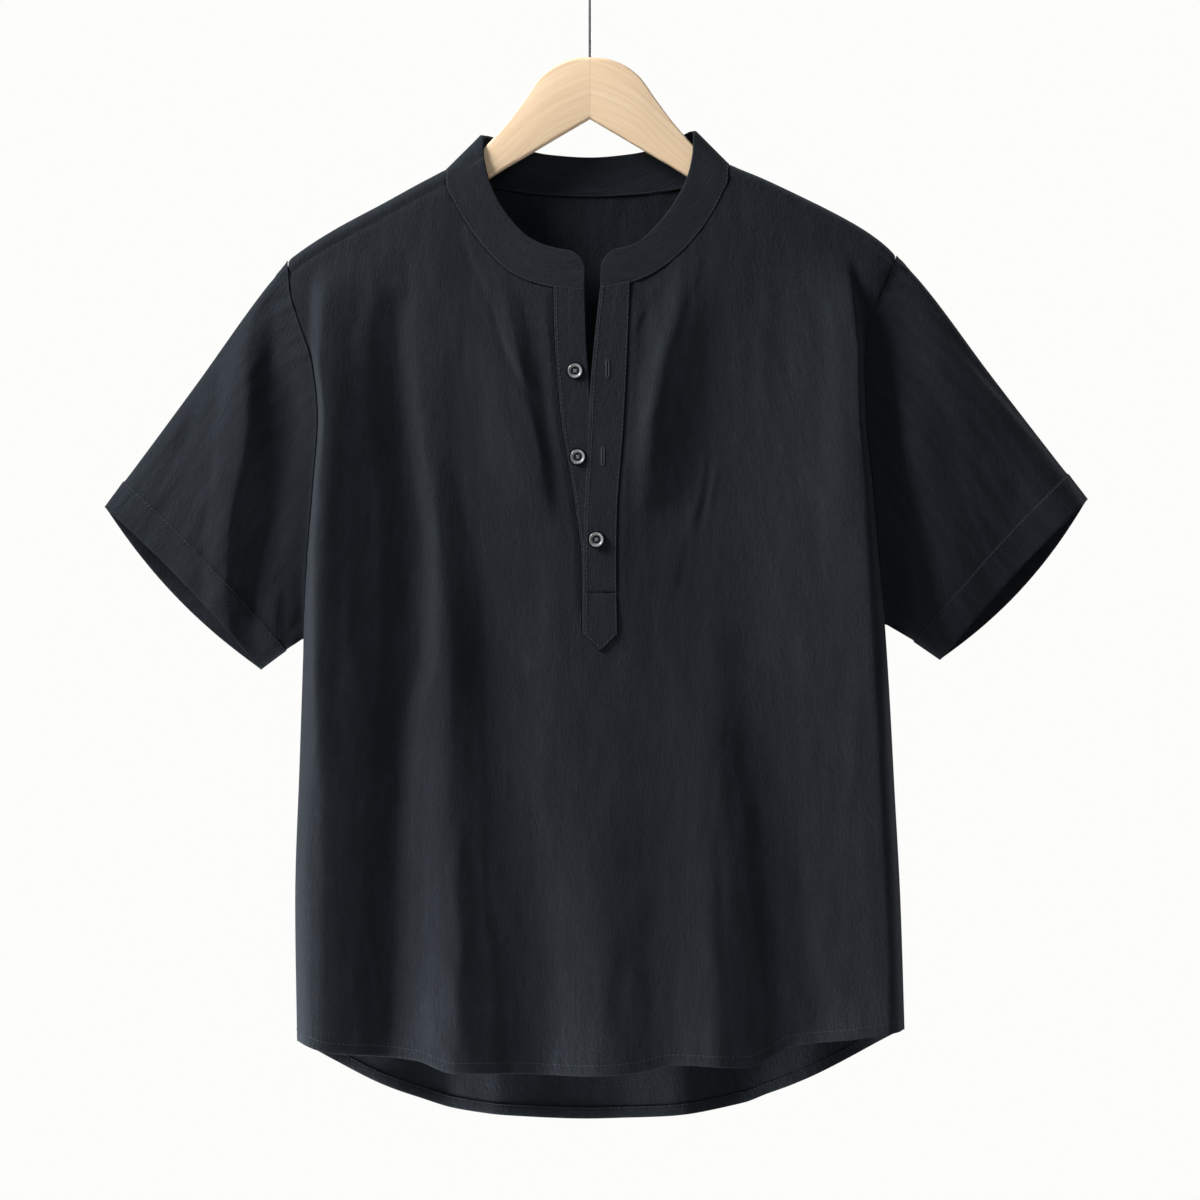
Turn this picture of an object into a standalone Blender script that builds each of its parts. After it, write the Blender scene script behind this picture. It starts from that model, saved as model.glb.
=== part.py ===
"""A short-sleeved linen shirt with a band collar and a half placket, on a wooden hanger.

The origin is the inner crown of the hanger's hook, +Z is up and the shirt's front faces -Y.
Sizes below are millimetres. A place on the shirt is given by three of them: x across (the
viewer's right is +), y to the back, and drop, the distance below the neck's shoulder point.
"""
import math
from collections import namedtuple

import bmesh
import bpy
import numpy as np

MM = 0.001

# ---------------------------------------------------------------- driving dimensions
NECK_BELOW_HOOK = 179.0   # shoulder point of the neck, below the hook's inner crown
CLOTH = 1.5               # thickness of the linen as a wall
BAND_CLOTH = 2.2          # collar band, two layers
PLACKET_CLOTH = 1.4       # folded placket strips
SEAM = 0.3                # gap between two pieces at a seam

SHOULDER_ROLL = 9.0       # half the depth of the shirt over the hanger's arm
ROLL_DROP = 8.0           # drop from the ridge to where the roll hangs straight
SHOULDER_SEAM_DROP = 11.6 # front shoulder seam, below the ridge
FRONT_FULLNESS = 26.0     # how far the front swings out further down
BACK_FULLNESS = 21.0      # how far the back does
FULLNESS_LENGTH = 170.0   # drop over which the swing builds up
SIDE_ROUND = 45.0         # width of the rounded side of the body
ARMHOLE_ROUND = 30.0      # width of the soft edge beside an armhole
UNDERARM_BLEND = 65.0     # drop over which the armhole's edge becomes the rounded side
FREE_FROM_EDGE = 22.0     # how far in from an edge the folds are whole
FREE_FROM_RIDGE = 50.0    # how far below the ridge they are
FOLD_END = 0.15           # part of a fold's length over which each end dies out

SLIT_RIGHT = 15.0         # inner edge of the slit's right side, under the overlap
UNDERLAP_WIDTH = 24.0
UNDERLAP_REACH = 13.5     # the underlap never reaches further to the right than this
SLIT_FOOT = 355.0         # foot of the slit
SLIT_HEAD = 90.0          # drop of the neck seam beside the slit
TIP_DROP = 368.0          # point of the overlap
OVERLAP_LIFT = 0.5        # gap between the overlap and the front under it
BAND_CORNER = 14.0        # radius of the band's round front corners
BAND_ROWS = (0, 0.35, 0.7, 1)                   # its rows, as parts of its height
STRIP_COLUMNS = (0.0, 0.2, 0.4, 0.6, 0.8, 1.0)  # columns across a placket strip
PLACKET_STIFFNESS = 0.9   # how much the placket flattens the folds under it
PLACKET_HALF = 24.0       # half the width that it flattens
PLACKET_BLEND = 20.0      # width over which the folds come back beside it
PLACKET_FADE = 60.0       # drop over which they come back below it
BAND_PROUD = 0.4          # how far the band stands proud of the cloth below it
SLEEVE_SEAM = 0.6         # gap of the armhole seam, which bends
SLEEVE_FLATNESS = 0.4     # the lower, the more a sleeve's section is a flat pocket
SLEEVE_FOLD_RIM = 0.8     # part of the swell over which a fold dies out at the sleeve's edges
ARMHOLE_REACH = 0.55      # part of the sleeve over which the armhole's own curve dies out
SLEEVE_FOLD_START = 0.3   # part of the sleeve over which its folds build up
SHOULDER_GAP = 0.5        # gap of the shoulder seam

BUTTON_RADIUS = 6.0
BUTTON_HOLE_RADIUS = 0.8
BUTTON_HOLE_OFFSET = 1.5
BUTTON_STEPS = 20         # faces round a turned button
DRILL_LENGTH = 8.0        # length of the rods that drill its holes

WOOD_THICKNESS = 12.0
WOOD_EDGE = 2.0           # rounding of the board's edges
WIRE_RADIUS = 1.1
HOOK_RADIUS = 20.0        # centreline of the hook's bow
STEM_TOP = -45.0          # height where the stem begins to bend
WOOD_TOP = -93.0          # height of the hanger's apex
STEM_HOLE_DEPTH = 20.0
BEND_STEPS = 8            # straight pieces in the stem's bend
BOW_TURN = 210            # degrees that the hook's bow turns through
BOW_STEP = 14             # degrees of each straight piece in it
SETTLE_STEPS = 8          # rounds in which an edge and the ridge above it settle

# ---------------------------------------------------------------- tables
# The ridge of each shoulder: drop of the ridge at a distance out from the middle.
Shoulder = namedtuple("Shoulder", "out left_drop right_drop")
SHOULDERS = [
    Shoulder(0, -42.0, -42.0),
    Shoulder(60, -28.0, -28.0),
    Shoulder(107, -2.0, -4.0),
    Shoulder(130, 10.0, 5.5),
    Shoulder(160, 26.5, 19.5),
    Shoulder(190, 42.5, 34.5),
    Shoulder(210, 54.5, 46.0),
    Shoulder(225, 65.0, 57.0),
    Shoulder(235, 73.5, 67.0),
]

# Each edge of the body, from the shoulder tip round the armhole and down the side seam.
# front and back are how far the edge stands out to the front and to the back.
Edge = namedtuple("Edge", "drop x front back")
EDGES = {
    "left": [
        Edge(66, -231.0, 9.0, 9.0),
        Edge(80, -230.5, 9.4, 9.4),
        Edge(95, -229.0, 12.0, 11.5),
        Edge(115, -223.0, 16.0, 14.5),
        Edge(150, -212.0, 20.5, 17.5),
        Edge(190, -208.0, 22.0, 18.5),
        Edge(240, -211.5, 20.5, 17.0),
        Edge(300, -216.5, 14.5, 12.5),
        Edge(340, -218.5, 7.0, 6.5),
        Edge(358, -219.0, 0.0, 0.0),
        Edge(450, -222.0, 0.0, 0.0),
        Edge(560, -225.5, 0.0, 0.0),
        Edge(670, -224.0, 0.0, 0.0),
    ],
    "right": [
        Edge(60, 236.0, 9.0, 9.0),
        Edge(66, 234.0, 9.0, 9.0),
        Edge(80, 229.5, 9.6, 9.6),
        Edge(95, 223.0, 12.5, 12.0),
        Edge(115, 215.0, 16.5, 14.5),
        Edge(150, 210.0, 20.5, 17.5),
        Edge(190, 211.0, 22.0, 18.5),
        Edge(240, 216.0, 20.0, 16.5),
        Edge(295, 221.0, 13.5, 12.0),
        Edge(330, 224.0, 6.5, 6.0),
        Edge(347, 225.5, 0.0, 0.0),
        Edge(400, 229.0, 0.0, 0.0),
        Edge(475, 233.0, 0.0, 0.0),
        Edge(560, 237.5, 0.0, 0.0),
        Edge(670, 241.0, 0.0, 0.0),
    ],
}
TIPS = {"left": -231.0, "right": 234.0}         # the shoulders' tips, on the ridge
UNDERARMS = {"left": 358.0, "right": 347.0}     # drop of the two underarm points

# The shirt tail: drop of the hem at a place across.
Hem = namedtuple("Hem", "x front back")
HEMS = [
    Hem(-226, 664.0, 665.0),
    Hem(-197, 673.0, 682.0),
    Hem(-159, 676.0, 701.0),
    Hem(-133, 679.0, 711.0),
    Hem(-104, 688.0, 720.0),
    Hem(-60, 688.5, 725.0),
    Hem(0, 690.5, 728.0),
    Hem(34, 688.0, 727.0),
    Hem(65, 682.0, 725.0),
    Hem(118, 684.0, 716.0),
    Hem(136, 677.0, 709.0),
    Hem(154, 668.0, 702.0),
    Hem(198, 663.0, 681.0),
    Hem(241, 656.0, 657.0),
]

# The neck seam and the band's free edge, from the underlap's end round the back to the
# overlap's end. A station's kind is where its seam lies: on the front, at the front
# shoulder seam, on the ridge, where the back starts to fall, or on the back. lean is how
# far the free edge stands towards the middle of the neck.
Neck = namedtuple("Neck", "kind seam_x seam_drop top_x top_drop lean")
NECKLINE = [
    Neck("front", -4.0, 91.5, -4.0, 62.5, 2.0),
    Neck("front", -9.0, 91.6, -9.0, 62.6, 2.0),
    Neck("front", -15.0, 91.3, -15.0, 62.3, 2.0),
    Neck("slit", -28.0, 89.5, -26.0, 60.5, 2.0),
    Neck("front", -44.0, 85.5, -37.5, 57.0, 2.0),
    Neck("front", -60.0, 78.0, -48.0, 51.0, 2.0),
    Neck("front", -77.0, 62.0, -60.0, 38.5, 1.5),
    Neck("front", -91.0, 44.0, -70.0, 24.0, 0.5),
    Neck("front", -103.0, 23.0, -77.5, 6.0, 0.0),
    Neck("shoulder", -108.5, 9.8, -81.0, -9.0, 0.0),
    Neck("ridge", -109.0, -1.0, -83.0, -27.0, 0.0),
    Neck("fall", -104.0, 4.8, -79.0, -27.0, 0.0),
    Neck("back", -90.0, 8.5, -71.5, -25.0, 0.0),
    Neck("back", -66.0, 13.0, -58.0, -19.0, 1.0),
    Neck("back", -34.0, 17.0, -31.0, -12.5, 2.0),
    Neck("back", 0.0, 18.5, 0.0, -10.5, 2.0),
    Neck("back", 34.0, 17.0, 31.0, -13.0, 2.0),
    Neck("back", 66.0, 13.0, 58.0, -20.0, 1.0),
    Neck("back", 88.0, 6.5, 70.5, -27.0, 0.0),
    Neck("fall", 101.5, 1.0, 76.5, -30.0, 0.0),
    Neck("ridge", 105.5, -5.0, 80.0, -30.0, 0.0),
    Neck("shoulder", 104.5, 6.5, 78.5, -13.0, 0.0),
    Neck("front", 100.0, 18.0, 75.5, 1.5, 0.0),
    Neck("front", 90.0, 37.0, 68.0, 19.0, 0.5),
    Neck("front", 75.0, 56.5, 57.5, 35.0, 1.5),
    Neck("front", 57.0, 73.0, 45.5, 48.5, 2.0),
    Neck("front", 43.0, 81.5, 36.5, 56.0, 2.0),
    Neck("front", 29.5, 86.8, 27.5, 59.5, 2.0),
    Neck("slit", 15.0, 90.0, 15.0, 62.0, 2.0),
    Neck("front", 11.5, 90.7, 11.5, 62.7, 2.0),
    Neck("front", 8.0, 91.0, 8.0, 63.0, 2.0),
]

# Angles of the back's roll over a shoulder: 180 at the front, 90 on the ridge.
ROLL_ANGLES = (180, 150, 120, 90, 60, 30)

# The two strips of the half placket, by drop.
Strip = namedtuple("Strip", "drop under_left over_left over_right")
STRIPS = [
    Strip(86, -28.2, 8.3, 30.5),
    Strip(130, -27.0, 3.5, 29.0),
    Strip(164, -24.5, 0.5, 27.5),
    Strip(200, -21.0, -1.0, 25.5),
    Strip(230, -15.5, -2.5, 23.0),
    Strip(260, -11.0, -4.0, 21.0),
    Strip(298, -6.5, -4.8, 20.3),
    Strip(355, -6.0, -4.8, 21.0),
]

# The buttons: where each lies, and which strip carries it.
Button = namedtuple("Button", "name x drop strip")
BUTTONS = [
    Button("button_top", -11.3, 154.5, "under"),
    Button("button_middle", -9.2, 220.0, "under"),
    Button("button_low", 5.0, 283.0, "over"),
]

# Folds of the cloth, each along a line from its start to its end. left and right are the
# widths of its two flanks, rise and end_rise how far it stands out, or in where negative.
Fold = namedtuple("Fold", "x drop end_x end_drop left right rise end_rise")
FRONT_FOLDS = [
    Fold(-202, 90, -208, 340, 12, 14, 2.0, 2.5),     # roll beside the left armhole
    Fold(-146, 110, -141, 720, 38, 22, -2.5, -9.0),  # broad trough on the left
    Fold(-117, 120, -100, 720, 24, 15, 0.8, 8.0),    # its sharp right bank
    Fold(-84, 320, -60, 720, 16, 36, -1.0, -8.5),
    Fold(62, 480, 60, 720, 36, 18, -1.0, -4.0),
    Fold(88, 320, 99, 720, 32, 18, 0.5, 9.0),        # bright bank on the right
    Fold(120, 340, 147, 720, 20, 40, -1.0, -14.0),   # deep fold that turns the hem
    Fold(-100, 40, -22, 250, 16, 26, -2.5, -4.0),    # drag line from the neck, left
    Fold(72, 84, 36, 230, 16, 18, 2.0, 3.5),         # drag line from the neck, right
    Fold(100, 110, 62, 270, 18, 20, -1.5, -3.0),
    Fold(186, 80, 191, 280, 16, 14, 1.5, 2.5),       # roll beside the right armhole
]
BACK_FOLDS = [
    Fold(-186, 90, -194, 400, 14, 14, 2.5, 2.5),
    Fold(-152, 130, -160, 760, 34, 24, -2.5, -8.0),
    Fold(-104, 180, -112, 760, 30, 16, 2.0, 7.5),
    Fold(-62, 300, -70, 760, 14, 34, -2.0, -7.5),
    Fold(8, 330, 14, 760, 40, 30, 1.5, 5.0),
    Fold(60, 240, 72, 760, 24, 18, -2.0, -8.0),
    Fold(112, 160, 116, 760, 22, 34, 2.5, 8.0),
    Fold(166, 140, 172, 760, 24, 30, -2.5, -8.5),
]
LEFT_SLEEVE_FOLDS = {
    -1: [
        Fold(-238, 100, -268, 356, 16, 18, -4.0, -11.0), # deep trough to the cuff
        Fold(-260, 118, -302, 300, 18, 18, 2.5, 4.5),    # bank beside it
    ],
    1: [
        Fold(-240, 110, -280, 340, 20, 22, -4.0, -7.0),
        Fold(-268, 130, -322, 300, 18, 18, 2.5, 5.0),
    ],
}
RIGHT_SLEEVE_FOLDS = {
    -1: [
        Fold(234, 128, 254, 352, 16, 18, -3.5, -8.0),    # trough beside the armhole
        Fold(256, 130, 284, 340, 18, 20, 2.0, 4.0),
    ],
    1: [
        Fold(244, 110, 284, 340, 22, 20, -4.0, -7.0),
        Fold(272, 130, 330, 295, 18, 18, 2.5, 5.0),
    ],
}

# Sections of a sleeve from the armhole (at 0) to the cuff (at 1): the point on the upper
# fold, the point under the arm, the half depths, and how far the middle of each side
# bows out along the sleeve.
Section = namedtuple("Section", "at top_x top_drop under_x under_drop front back front_bow back_bow")
LEFT_SLEEVE = [
    Section(0.00, -231.5, 70.5, -219.0, 358.0, 21.0, 18.0, 0.0, 0.0),
    Section(0.12, -249.0, 91.5, -222.5, 360.5, 20.0, 17.0, 0.0, 0.0),
    Section(0.50, -301.0, 164.0, -234.5, 368.5, 20.0, 16.0, 0.0, 3.0),
    Section(1.00, -370.5, 258.0, -252.0, 381.5, 18.0, 15.0, -4.0, 9.0),
]
RIGHT_SLEEVE = [
    Section(0.00, 235.0, 67.0, 225.5, 347.0, 21.0, 18.0, 0.0, 0.0),
    Section(0.12, 252.5, 85.0, 230.5, 350.0, 20.0, 17.0, 0.0, 0.0),
    Section(0.50, 307.0, 157.5, 246.5, 359.5, 20.0, 16.0, 0.0, 3.0),
    Section(1.00, 380.0, 252.0, 268.0, 374.0, 18.0, 15.0, -3.0, 10.0),
]

# Outline of the hanger's board, right half, from its apex to the arm's tip.
Wood = namedtuple("Wood", "out top bottom")
BOARD = [
    Wood(0, -86.0, -39.0),
    Wood(12, -85.0, -32.0),
    Wood(24, -81.0, -25.0),
    Wood(37, -72.0, -17.3),
    Wood(51, -53.0, -9.0),
    Wood(65, -34.5, -0.8),
    Wood(83, -15.0, 10.8),
    Wood(107, 3.2, 26.0),
    Wood(150, 24.8, 48.5),
    Wood(190, 46.5, 67.0),
    Wood(206, 56.0, 74.5),
    Wood(214, 62.5, 75.5),
]

# The round tip of an arm, from the upper edge's last point.
Tip = namedtuple("Tip", "out below")
ARM_TIP = [Tip(2.5, 3.0), Tip(3.0, 6.5), Tip(2.6, 10.0), Tip(1.6, 12.6)]

# A button's turned profile, from the middle of its face out and back.
Turn = namedtuple("Turn", "radius height")
BUTTON_PROFILE = [
    Turn(0.0, 1.3),
    Turn(3.6, 1.4),
    Turn(4.6, 2.4),
    Turn(5.6, 2.1),
    Turn(6.0, 1.2),
    Turn(5.2, 0.0),
    Turn(0.0, 0.0),
]

MATERIALS = {
    "black_linen": ((0.012, 0.014, 0.018, 1.0), 0.9, 0.0),
    "dark_button": ((0.03, 0.032, 0.036, 1.0), 0.35, 0.0),
    "pale_wood": ((0.78, 0.56, 0.36, 1.0), 0.5, 0.0),
    "bright_wire": ((0.75, 0.75, 0.76, 1.0), 0.2, 1.0),
}


# ---------------------------------------------------------------- reading the tables
def smooth(rows, key, value, at):
    """Read a column at a place in a table, on a smooth curve that never overshoots its rows."""
    keys = np.array([getattr(row, key) for row in rows], float)
    values = np.array([getattr(row, value) for row in rows], float)
    steps = np.diff(keys)
    slopes = np.diff(values) / steps
    same_way = slopes[1:] * slopes[:-1] > 0
    total = np.where(same_way, slopes[1:] + slopes[:-1], 1.0)
    middle = np.where(same_way, 2.0 * slopes[1:] * slopes[:-1] / total, 0.0)
    tangents = np.concatenate([[slopes[0]], middle, [slopes[-1]]])
    at = np.clip(np.asarray(at, float), keys[0], keys[-1])
    i = np.clip(np.searchsorted(keys, at, side="right") - 1, 0, len(steps) - 1)
    t = (at - keys[i]) / steps[i]
    start = (2 * t ** 3 - 3 * t ** 2 + 1) * values[i] + (t ** 3 - 2 * t ** 2 + t) * steps[i] * tangents[i]
    end = (3 * t ** 2 - 2 * t ** 3) * values[i + 1] + (t ** 3 - t ** 2) * steps[i] * tangents[i + 1]
    return start + end


def ease(value):
    """Go from 0 to 1 with no corner at either end."""
    value = np.clip(value, 0.0, 1.0)
    return value * value * (3.0 - 2.0 * value)


def ridge(x):
    """Drop of the shoulder's ridge at x."""
    left = smooth(SHOULDERS, "out", "left_drop", -np.asarray(x, float))
    right = smooth(SHOULDERS, "out", "right_drop", x)
    return np.where(np.asarray(x) < 0, left, right)


# ---------------------------------------------------------------- the hanging surface
def folded(folds, x, drop):
    """Sum the folds of a table at a place."""
    total = np.zeros(np.broadcast(x, drop).shape)
    for fold in folds:
        along = (drop - fold.drop) / (fold.end_drop - fold.drop)
        centre = fold.x + (fold.end_x - fold.x) * along
        width = np.where(x < centre, fold.left, fold.right)
        rise = fold.rise + (fold.end_rise - fold.rise) * np.clip(along, 0.0, 1.0)
        fade = ease((along + FOLD_END) / FOLD_END / 2) * ease((1.0 + FOLD_END - along) / FOLD_END / 2)
        total += rise * fade * np.exp(-((x - centre) / width) ** 2)
    return total


def stand_out(face, x, drop):
    """How far the body's cloth stands out from the middle plane, on the front or the back."""
    side = "front" if face < 0 else "back"
    fullness = FRONT_FULLNESS if face < 0 else BACK_FULLNESS
    folds = FRONT_FOLDS if face < 0 else BACK_FOLDS
    hang = np.maximum(drop - ridge(x), 0.0)
    full = SHOULDER_ROLL + fullness * (1.0 - np.exp(-np.maximum(hang - ROLL_DROP, 0.0) / FULLNESS_LENGTH))
    on_left = np.asarray(x) < 0
    edge = np.where(on_left, smooth(EDGES["left"], "drop", side, drop), smooth(EDGES["right"], "drop", side, drop))
    left_gap = x - smooth(EDGES["left"], "drop", "x", drop)
    right_gap = smooth(EDGES["right"], "drop", "x", drop) - x
    gap = np.maximum(np.minimum(left_gap, right_gap), 0.0)
    underarm = np.where(on_left, UNDERARMS["left"], UNDERARMS["right"])
    below = ease(1.0 + (drop - underarm) / UNDERARM_BLEND)
    width = ARMHOLE_ROUND + (SIDE_ROUND - ARMHOLE_ROUND) * below
    t = np.clip(gap / width, 0.0, 1.0)
    rounded = (1.0 - (1.0 - t) ** 2) ** (1.0 - 0.5 * below)
    free = ease(gap / FREE_FROM_EDGE) * ease((hang - ROLL_DROP) / FREE_FROM_RIDGE)
    if face < 0:
        free = free * (1.0 - PLACKET_STIFFNESS * on_placket(x, drop))
    return edge + (full - edge) * rounded + folded(folds, x, drop) * free


def on_placket(x, drop):
    """1 on the stiff half placket, fading to 0 beside it and below it."""
    middle = (SLIT_RIGHT + STRIPS[-1].under_left) / 2
    aside = ease((np.abs(x - middle) - PLACKET_HALF) / PLACKET_BLEND)
    return (1.0 - aside) * (1.0 - ease((drop - TIP_DROP) / PLACKET_FADE))


def hung(face, x, drop):
    """Points of the front (-1) or back (1) surface at x and drop."""
    x = np.asarray(x, float)
    drop = np.asarray(drop, float)
    out = np.maximum(stand_out(face, x, drop), SEAM)
    return np.stack([x, face * out, drop], axis=-1)


def roll(x, angle):
    """A point of the roll over the shoulder: 0 at the back, 90 on the ridge, 180 at the front."""
    turn = np.radians(angle)
    drop = ridge(x) + ROLL_DROP * (1.0 - np.sin(turn))
    return np.stack([x, SHOULDER_ROLL * np.cos(turn), drop], axis=-1)


# ---------------------------------------------------------------- curves and patches
def patch(top, bottom, left, right):
    """Fill four matching edges with rows of points, from the top edge to the bottom edge."""
    down = np.concatenate([[0.0], np.cumsum(np.linalg.norm(np.diff(left, axis=0), axis=1))])
    v = (down / down[-1])[:, None, None]
    across = np.concatenate([[0.0], np.cumsum(np.linalg.norm(np.diff(bottom, axis=0), axis=1))])
    u = (across / across[-1])[None, :, None]
    ruled = (1 - v) * top[None] + v * bottom[None] + (1 - u) * left[:, None] + u * right[:, None]
    corners = (1 - u) * (1 - v) * top[0] + u * (1 - v) * top[-1]
    corners = corners + (1 - u) * v * bottom[0] + u * v * bottom[-1]
    return ruled - corners


Station = namedtuple("Station", "kind seam top")


def between(ridge_value, front_value, fall_value, angle):
    """Carry a value over the shoulder: the front seam (None), the ridge (90), the back's fall (0)."""
    turn = math.radians(180.0 if angle is None else angle)
    if math.cos(turn) < 0:
        return ridge_value - (front_value - ridge_value) * math.cos(turn)
    return ridge_value + (fall_value - ridge_value) * math.cos(turn)


def shoulder_point(x, angle):
    """A point of the back where it runs over the shoulder, down to the front seam (None)."""
    if angle is None:
        return hung(-1, x, ridge(x) + SHOULDER_SEAM_DROP)
    return roll(x, angle)


def over_shoulder(crown, before, after):
    """The band's stations from one side of the shoulder to the other, in the ring's order."""
    front, fall = (before, after) if before.kind == "shoulder" else (after, before)
    stations = []
    for angle in (None,) + ROLL_ANGLES:
        seam = shoulder_point(between(crown.seam_x, front.seam_x, fall.seam_x, angle), angle)
        turn = math.radians(180.0 if angle is None else angle)
        lower = fall if math.cos(turn) > 0 else front
        top_drop = crown.top_drop + (lower.top_drop - crown.top_drop) * (1.0 - math.sin(turn))
        top_x = between(crown.top_x, front.top_x, fall.top_x, angle)
        kind = "junction" if angle is None else "roll"
        stations.append(Station(kind, seam, np.array([top_x, seam[1], top_drop])))
    return stations if before.kind == "shoulder" else stations[::-1]


def neck_stations():
    """Every station of the band, from the underlap's end round the back to the overlap's end."""
    stations = []
    for at, row in enumerate(NECKLINE):
        if row.kind == "ridge":
            stations += over_shoulder(row, NECKLINE[at - 1], NECKLINE[at + 1])
        elif row.kind == "fall":
            seam = roll(row.seam_x, 0)
            stations.append(Station("fall", seam, np.array([row.top_x, seam[1], row.top_drop])))
        elif row.kind != "shoulder":
            face = 1 if row.kind == "back" else -1
            seam = hung(face, row.seam_x, row.seam_drop)
            top = np.array([row.top_x, seam[1] - face * row.lean, row.top_drop])
            stations.append(Station(row.kind, seam, top))
    return stations


def neck_edge(kinds, side):
    """The cloth's own edge along the neck seam on one side, half a seam below it, in ring order."""
    points = []
    for kind, seam, top in neck_stations():
        if kind in kinds and (seam[0] < 0) == (side == "left"):
            away = seam - top
            points.append(seam + away / np.linalg.norm(away) * SEAM / 2)
    return np.array(points)


def neck_drop(x):
    """Drop of the front's neck seam at x."""
    seams = [station.seam for station in neck_stations() if station.kind in ("front", "slit")]
    seams = np.array(sorted(seams, key=lambda seam: seam[0]))
    return np.interp(x, seams[:, 0], seams[:, 2])


# ---------------------------------------------------------------- making objects
def made_material(name):
    """A plain Principled material."""
    colour, roughness, metallic = MATERIALS[name]
    material = bpy.data.materials.get(name) or bpy.data.materials.new(name)
    material.use_nodes = True
    shader = material.node_tree.nodes["Principled BSDF"]
    shader.inputs["Base Color"].default_value = colour
    shader.inputs["Roughness"].default_value = roughness
    shader.inputs["Metallic"].default_value = metallic
    material.diffuse_color = colour
    return material


def placed(point):
    """Metres in the scene from x, y and drop in millimetres."""
    return (point[0] * MM, point[1] * MM, -(NECK_BELOW_HOOK + point[2]) * MM)


def add_object(name, mesh, material, collection):
    """Put a mesh in the scene under its own name."""
    thing = bpy.data.objects.new(name, mesh)
    mesh.materials.append(made_material(material))
    collection.objects.link(thing)
    mesh.shade_smooth()
    return thing


def cloth(name, rows, thickness, collection, skip=None, ring=False, flip=False):
    """A wall of cloth: rows of points as an open surface, thickened inwards."""
    bm = bmesh.new()
    used = {}

    def corner(j, i):
        if (j, i) not in used:
            used[j, i] = bm.verts.new(placed(rows[j][i]))
        return used[j, i]

    for j in range(len(rows) - 1):
        columns = min(len(rows[j]), len(rows[j + 1]))
        for i in range(columns if ring else columns - 1):
            if skip and skip(j, i):
                continue
            n = (i + 1) % columns
            loop = [corner(j, i), corner(j + 1, i), corner(j + 1, n), corner(j, n)]
            bm.faces.new(loop[::-1] if flip else loop)
    mesh = bpy.data.meshes.new(name)
    bm.to_mesh(mesh)
    bm.free()
    wall = add_object(name, mesh, "black_linen", collection)
    solid = wall.modifiers.new("thickness", "SOLIDIFY")
    solid.thickness = thickness * MM
    solid.offset = -1.0
    return wall


# ---------------------------------------------------------------- the body
SIDE_ANGLES = (0, 9, 22, 38, 58, 90)            # columns round the side of the body
SHOULDER_STEPS = 5                              # columns from there to the neck
UPPER_ROWS = (0, .04, .1, .18, .27, .37, .48, .59, .7, .8, .89, .96, 1)
LOWER_ROWS = (.1, .2, .3, .4, .5, .6, .7, .8, .9, 1)
SLIT_ROW = len(UPPER_ROWS) - 1                  # the slit ends on the underarm's row


def side_offsets():
    """Distances in from the side edge of the columns that round it."""
    return [SIDE_ROUND * (1.0 - math.cos(math.radians(angle))) for angle in SIDE_ANGLES]


def sign_of(side):
    """-1 on the viewer's left, 1 on the right."""
    return -1 if side == "left" else 1


def edge_x(side, drop):
    """Place of the body's edge at a drop."""
    return smooth(EDGES[side], "drop", "x", drop)


def outer_x(side, below_ridge):
    """Place of the body's edge at a drop below the shoulder's own ridge there."""
    x = TIPS[side]
    for settle in range(SETTLE_STEPS):
        x = float(edge_x(side, float(ridge(x)) + below_ridge))
    return x


def shoulder_x(side, neck_x, below_ridge):
    """Places of the columns along a shoulder, from its outer edge to the neck."""
    outer = outer_x(side, below_ridge)
    near = [outer - sign_of(side) * offset for offset in side_offsets()]
    rest = np.linspace(near[-1], neck_x, SHOULDER_STEPS + 1)[1:]
    return np.concatenate([near, rest])


def hem_line(side, column, inner_x, count):
    """The hem from the side seam to an inner column, as x and drop."""
    corner = EDGES[side][-1].x
    near = [corner - sign_of(side) * offset for offset in side_offsets()]
    rest = np.linspace(near[-1], inner_x, count - len(near) + 1)[1:]
    x = np.concatenate([near, rest])
    return np.stack([x, smooth(HEMS, "x", column, x)], axis=-1)


def down_rows(top, middle, foot):
    """Drops of the rows along an edge, from its top past its middle point to its foot."""
    upper = [top + (middle - top) * part for part in UPPER_ROWS]
    return np.array(upper + [middle + (foot - middle) * part for part in LOWER_ROWS])


def edge_line(side, top, foot):
    """The body's edge in x and drop."""
    drops = down_rows(top, UNDERARMS[side], foot)
    return np.stack([edge_x(side, drops), drops], axis=-1)


def slit_x(side, drop):
    """Edge of the slit at a drop."""
    if side == "left":
        return smooth(STRIPS, "drop", "under_left", drop) - SEAM / 2
    return np.full(np.shape(drop), SLIT_RIGHT)


def front_half(side):
    """One half of the front in x and drop, from the side edge to the slit."""
    neck = neck_edge(("junction", "front", "slit"), side)[:, [0, 2]]
    neck = neck if side == "right" else neck[::-1]
    slit_top = [i for i, point in enumerate(neck) if abs(point[0] - slit_x(side, SLIT_HEAD)) < 1.0][0]
    neck = neck[:slit_top + 1]
    neck[0, 1] += SHOULDER_GAP / 2
    x = shoulder_x(side, neck[0, 0], SHOULDER_SEAM_DROP)[:-1]
    seam = np.stack([x, ridge(x) + SHOULDER_SEAM_DROP + SHOULDER_GAP / 2], axis=-1)
    top = np.concatenate([seam, neck])
    foot = float(smooth(HEMS, "x", "front", slit_x(side, SLIT_FOOT)))
    drops = down_rows(top[-1, 1], SLIT_FOOT, foot)
    inner = np.stack([slit_x(side, drops), drops], axis=-1)
    inner[0] = top[-1]
    bottom = hem_line(side, "front", inner[-1, 0], len(top))
    return patch(top, bottom, edge_line(side, top[0, 1], bottom[0, 1]), inner)


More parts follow.
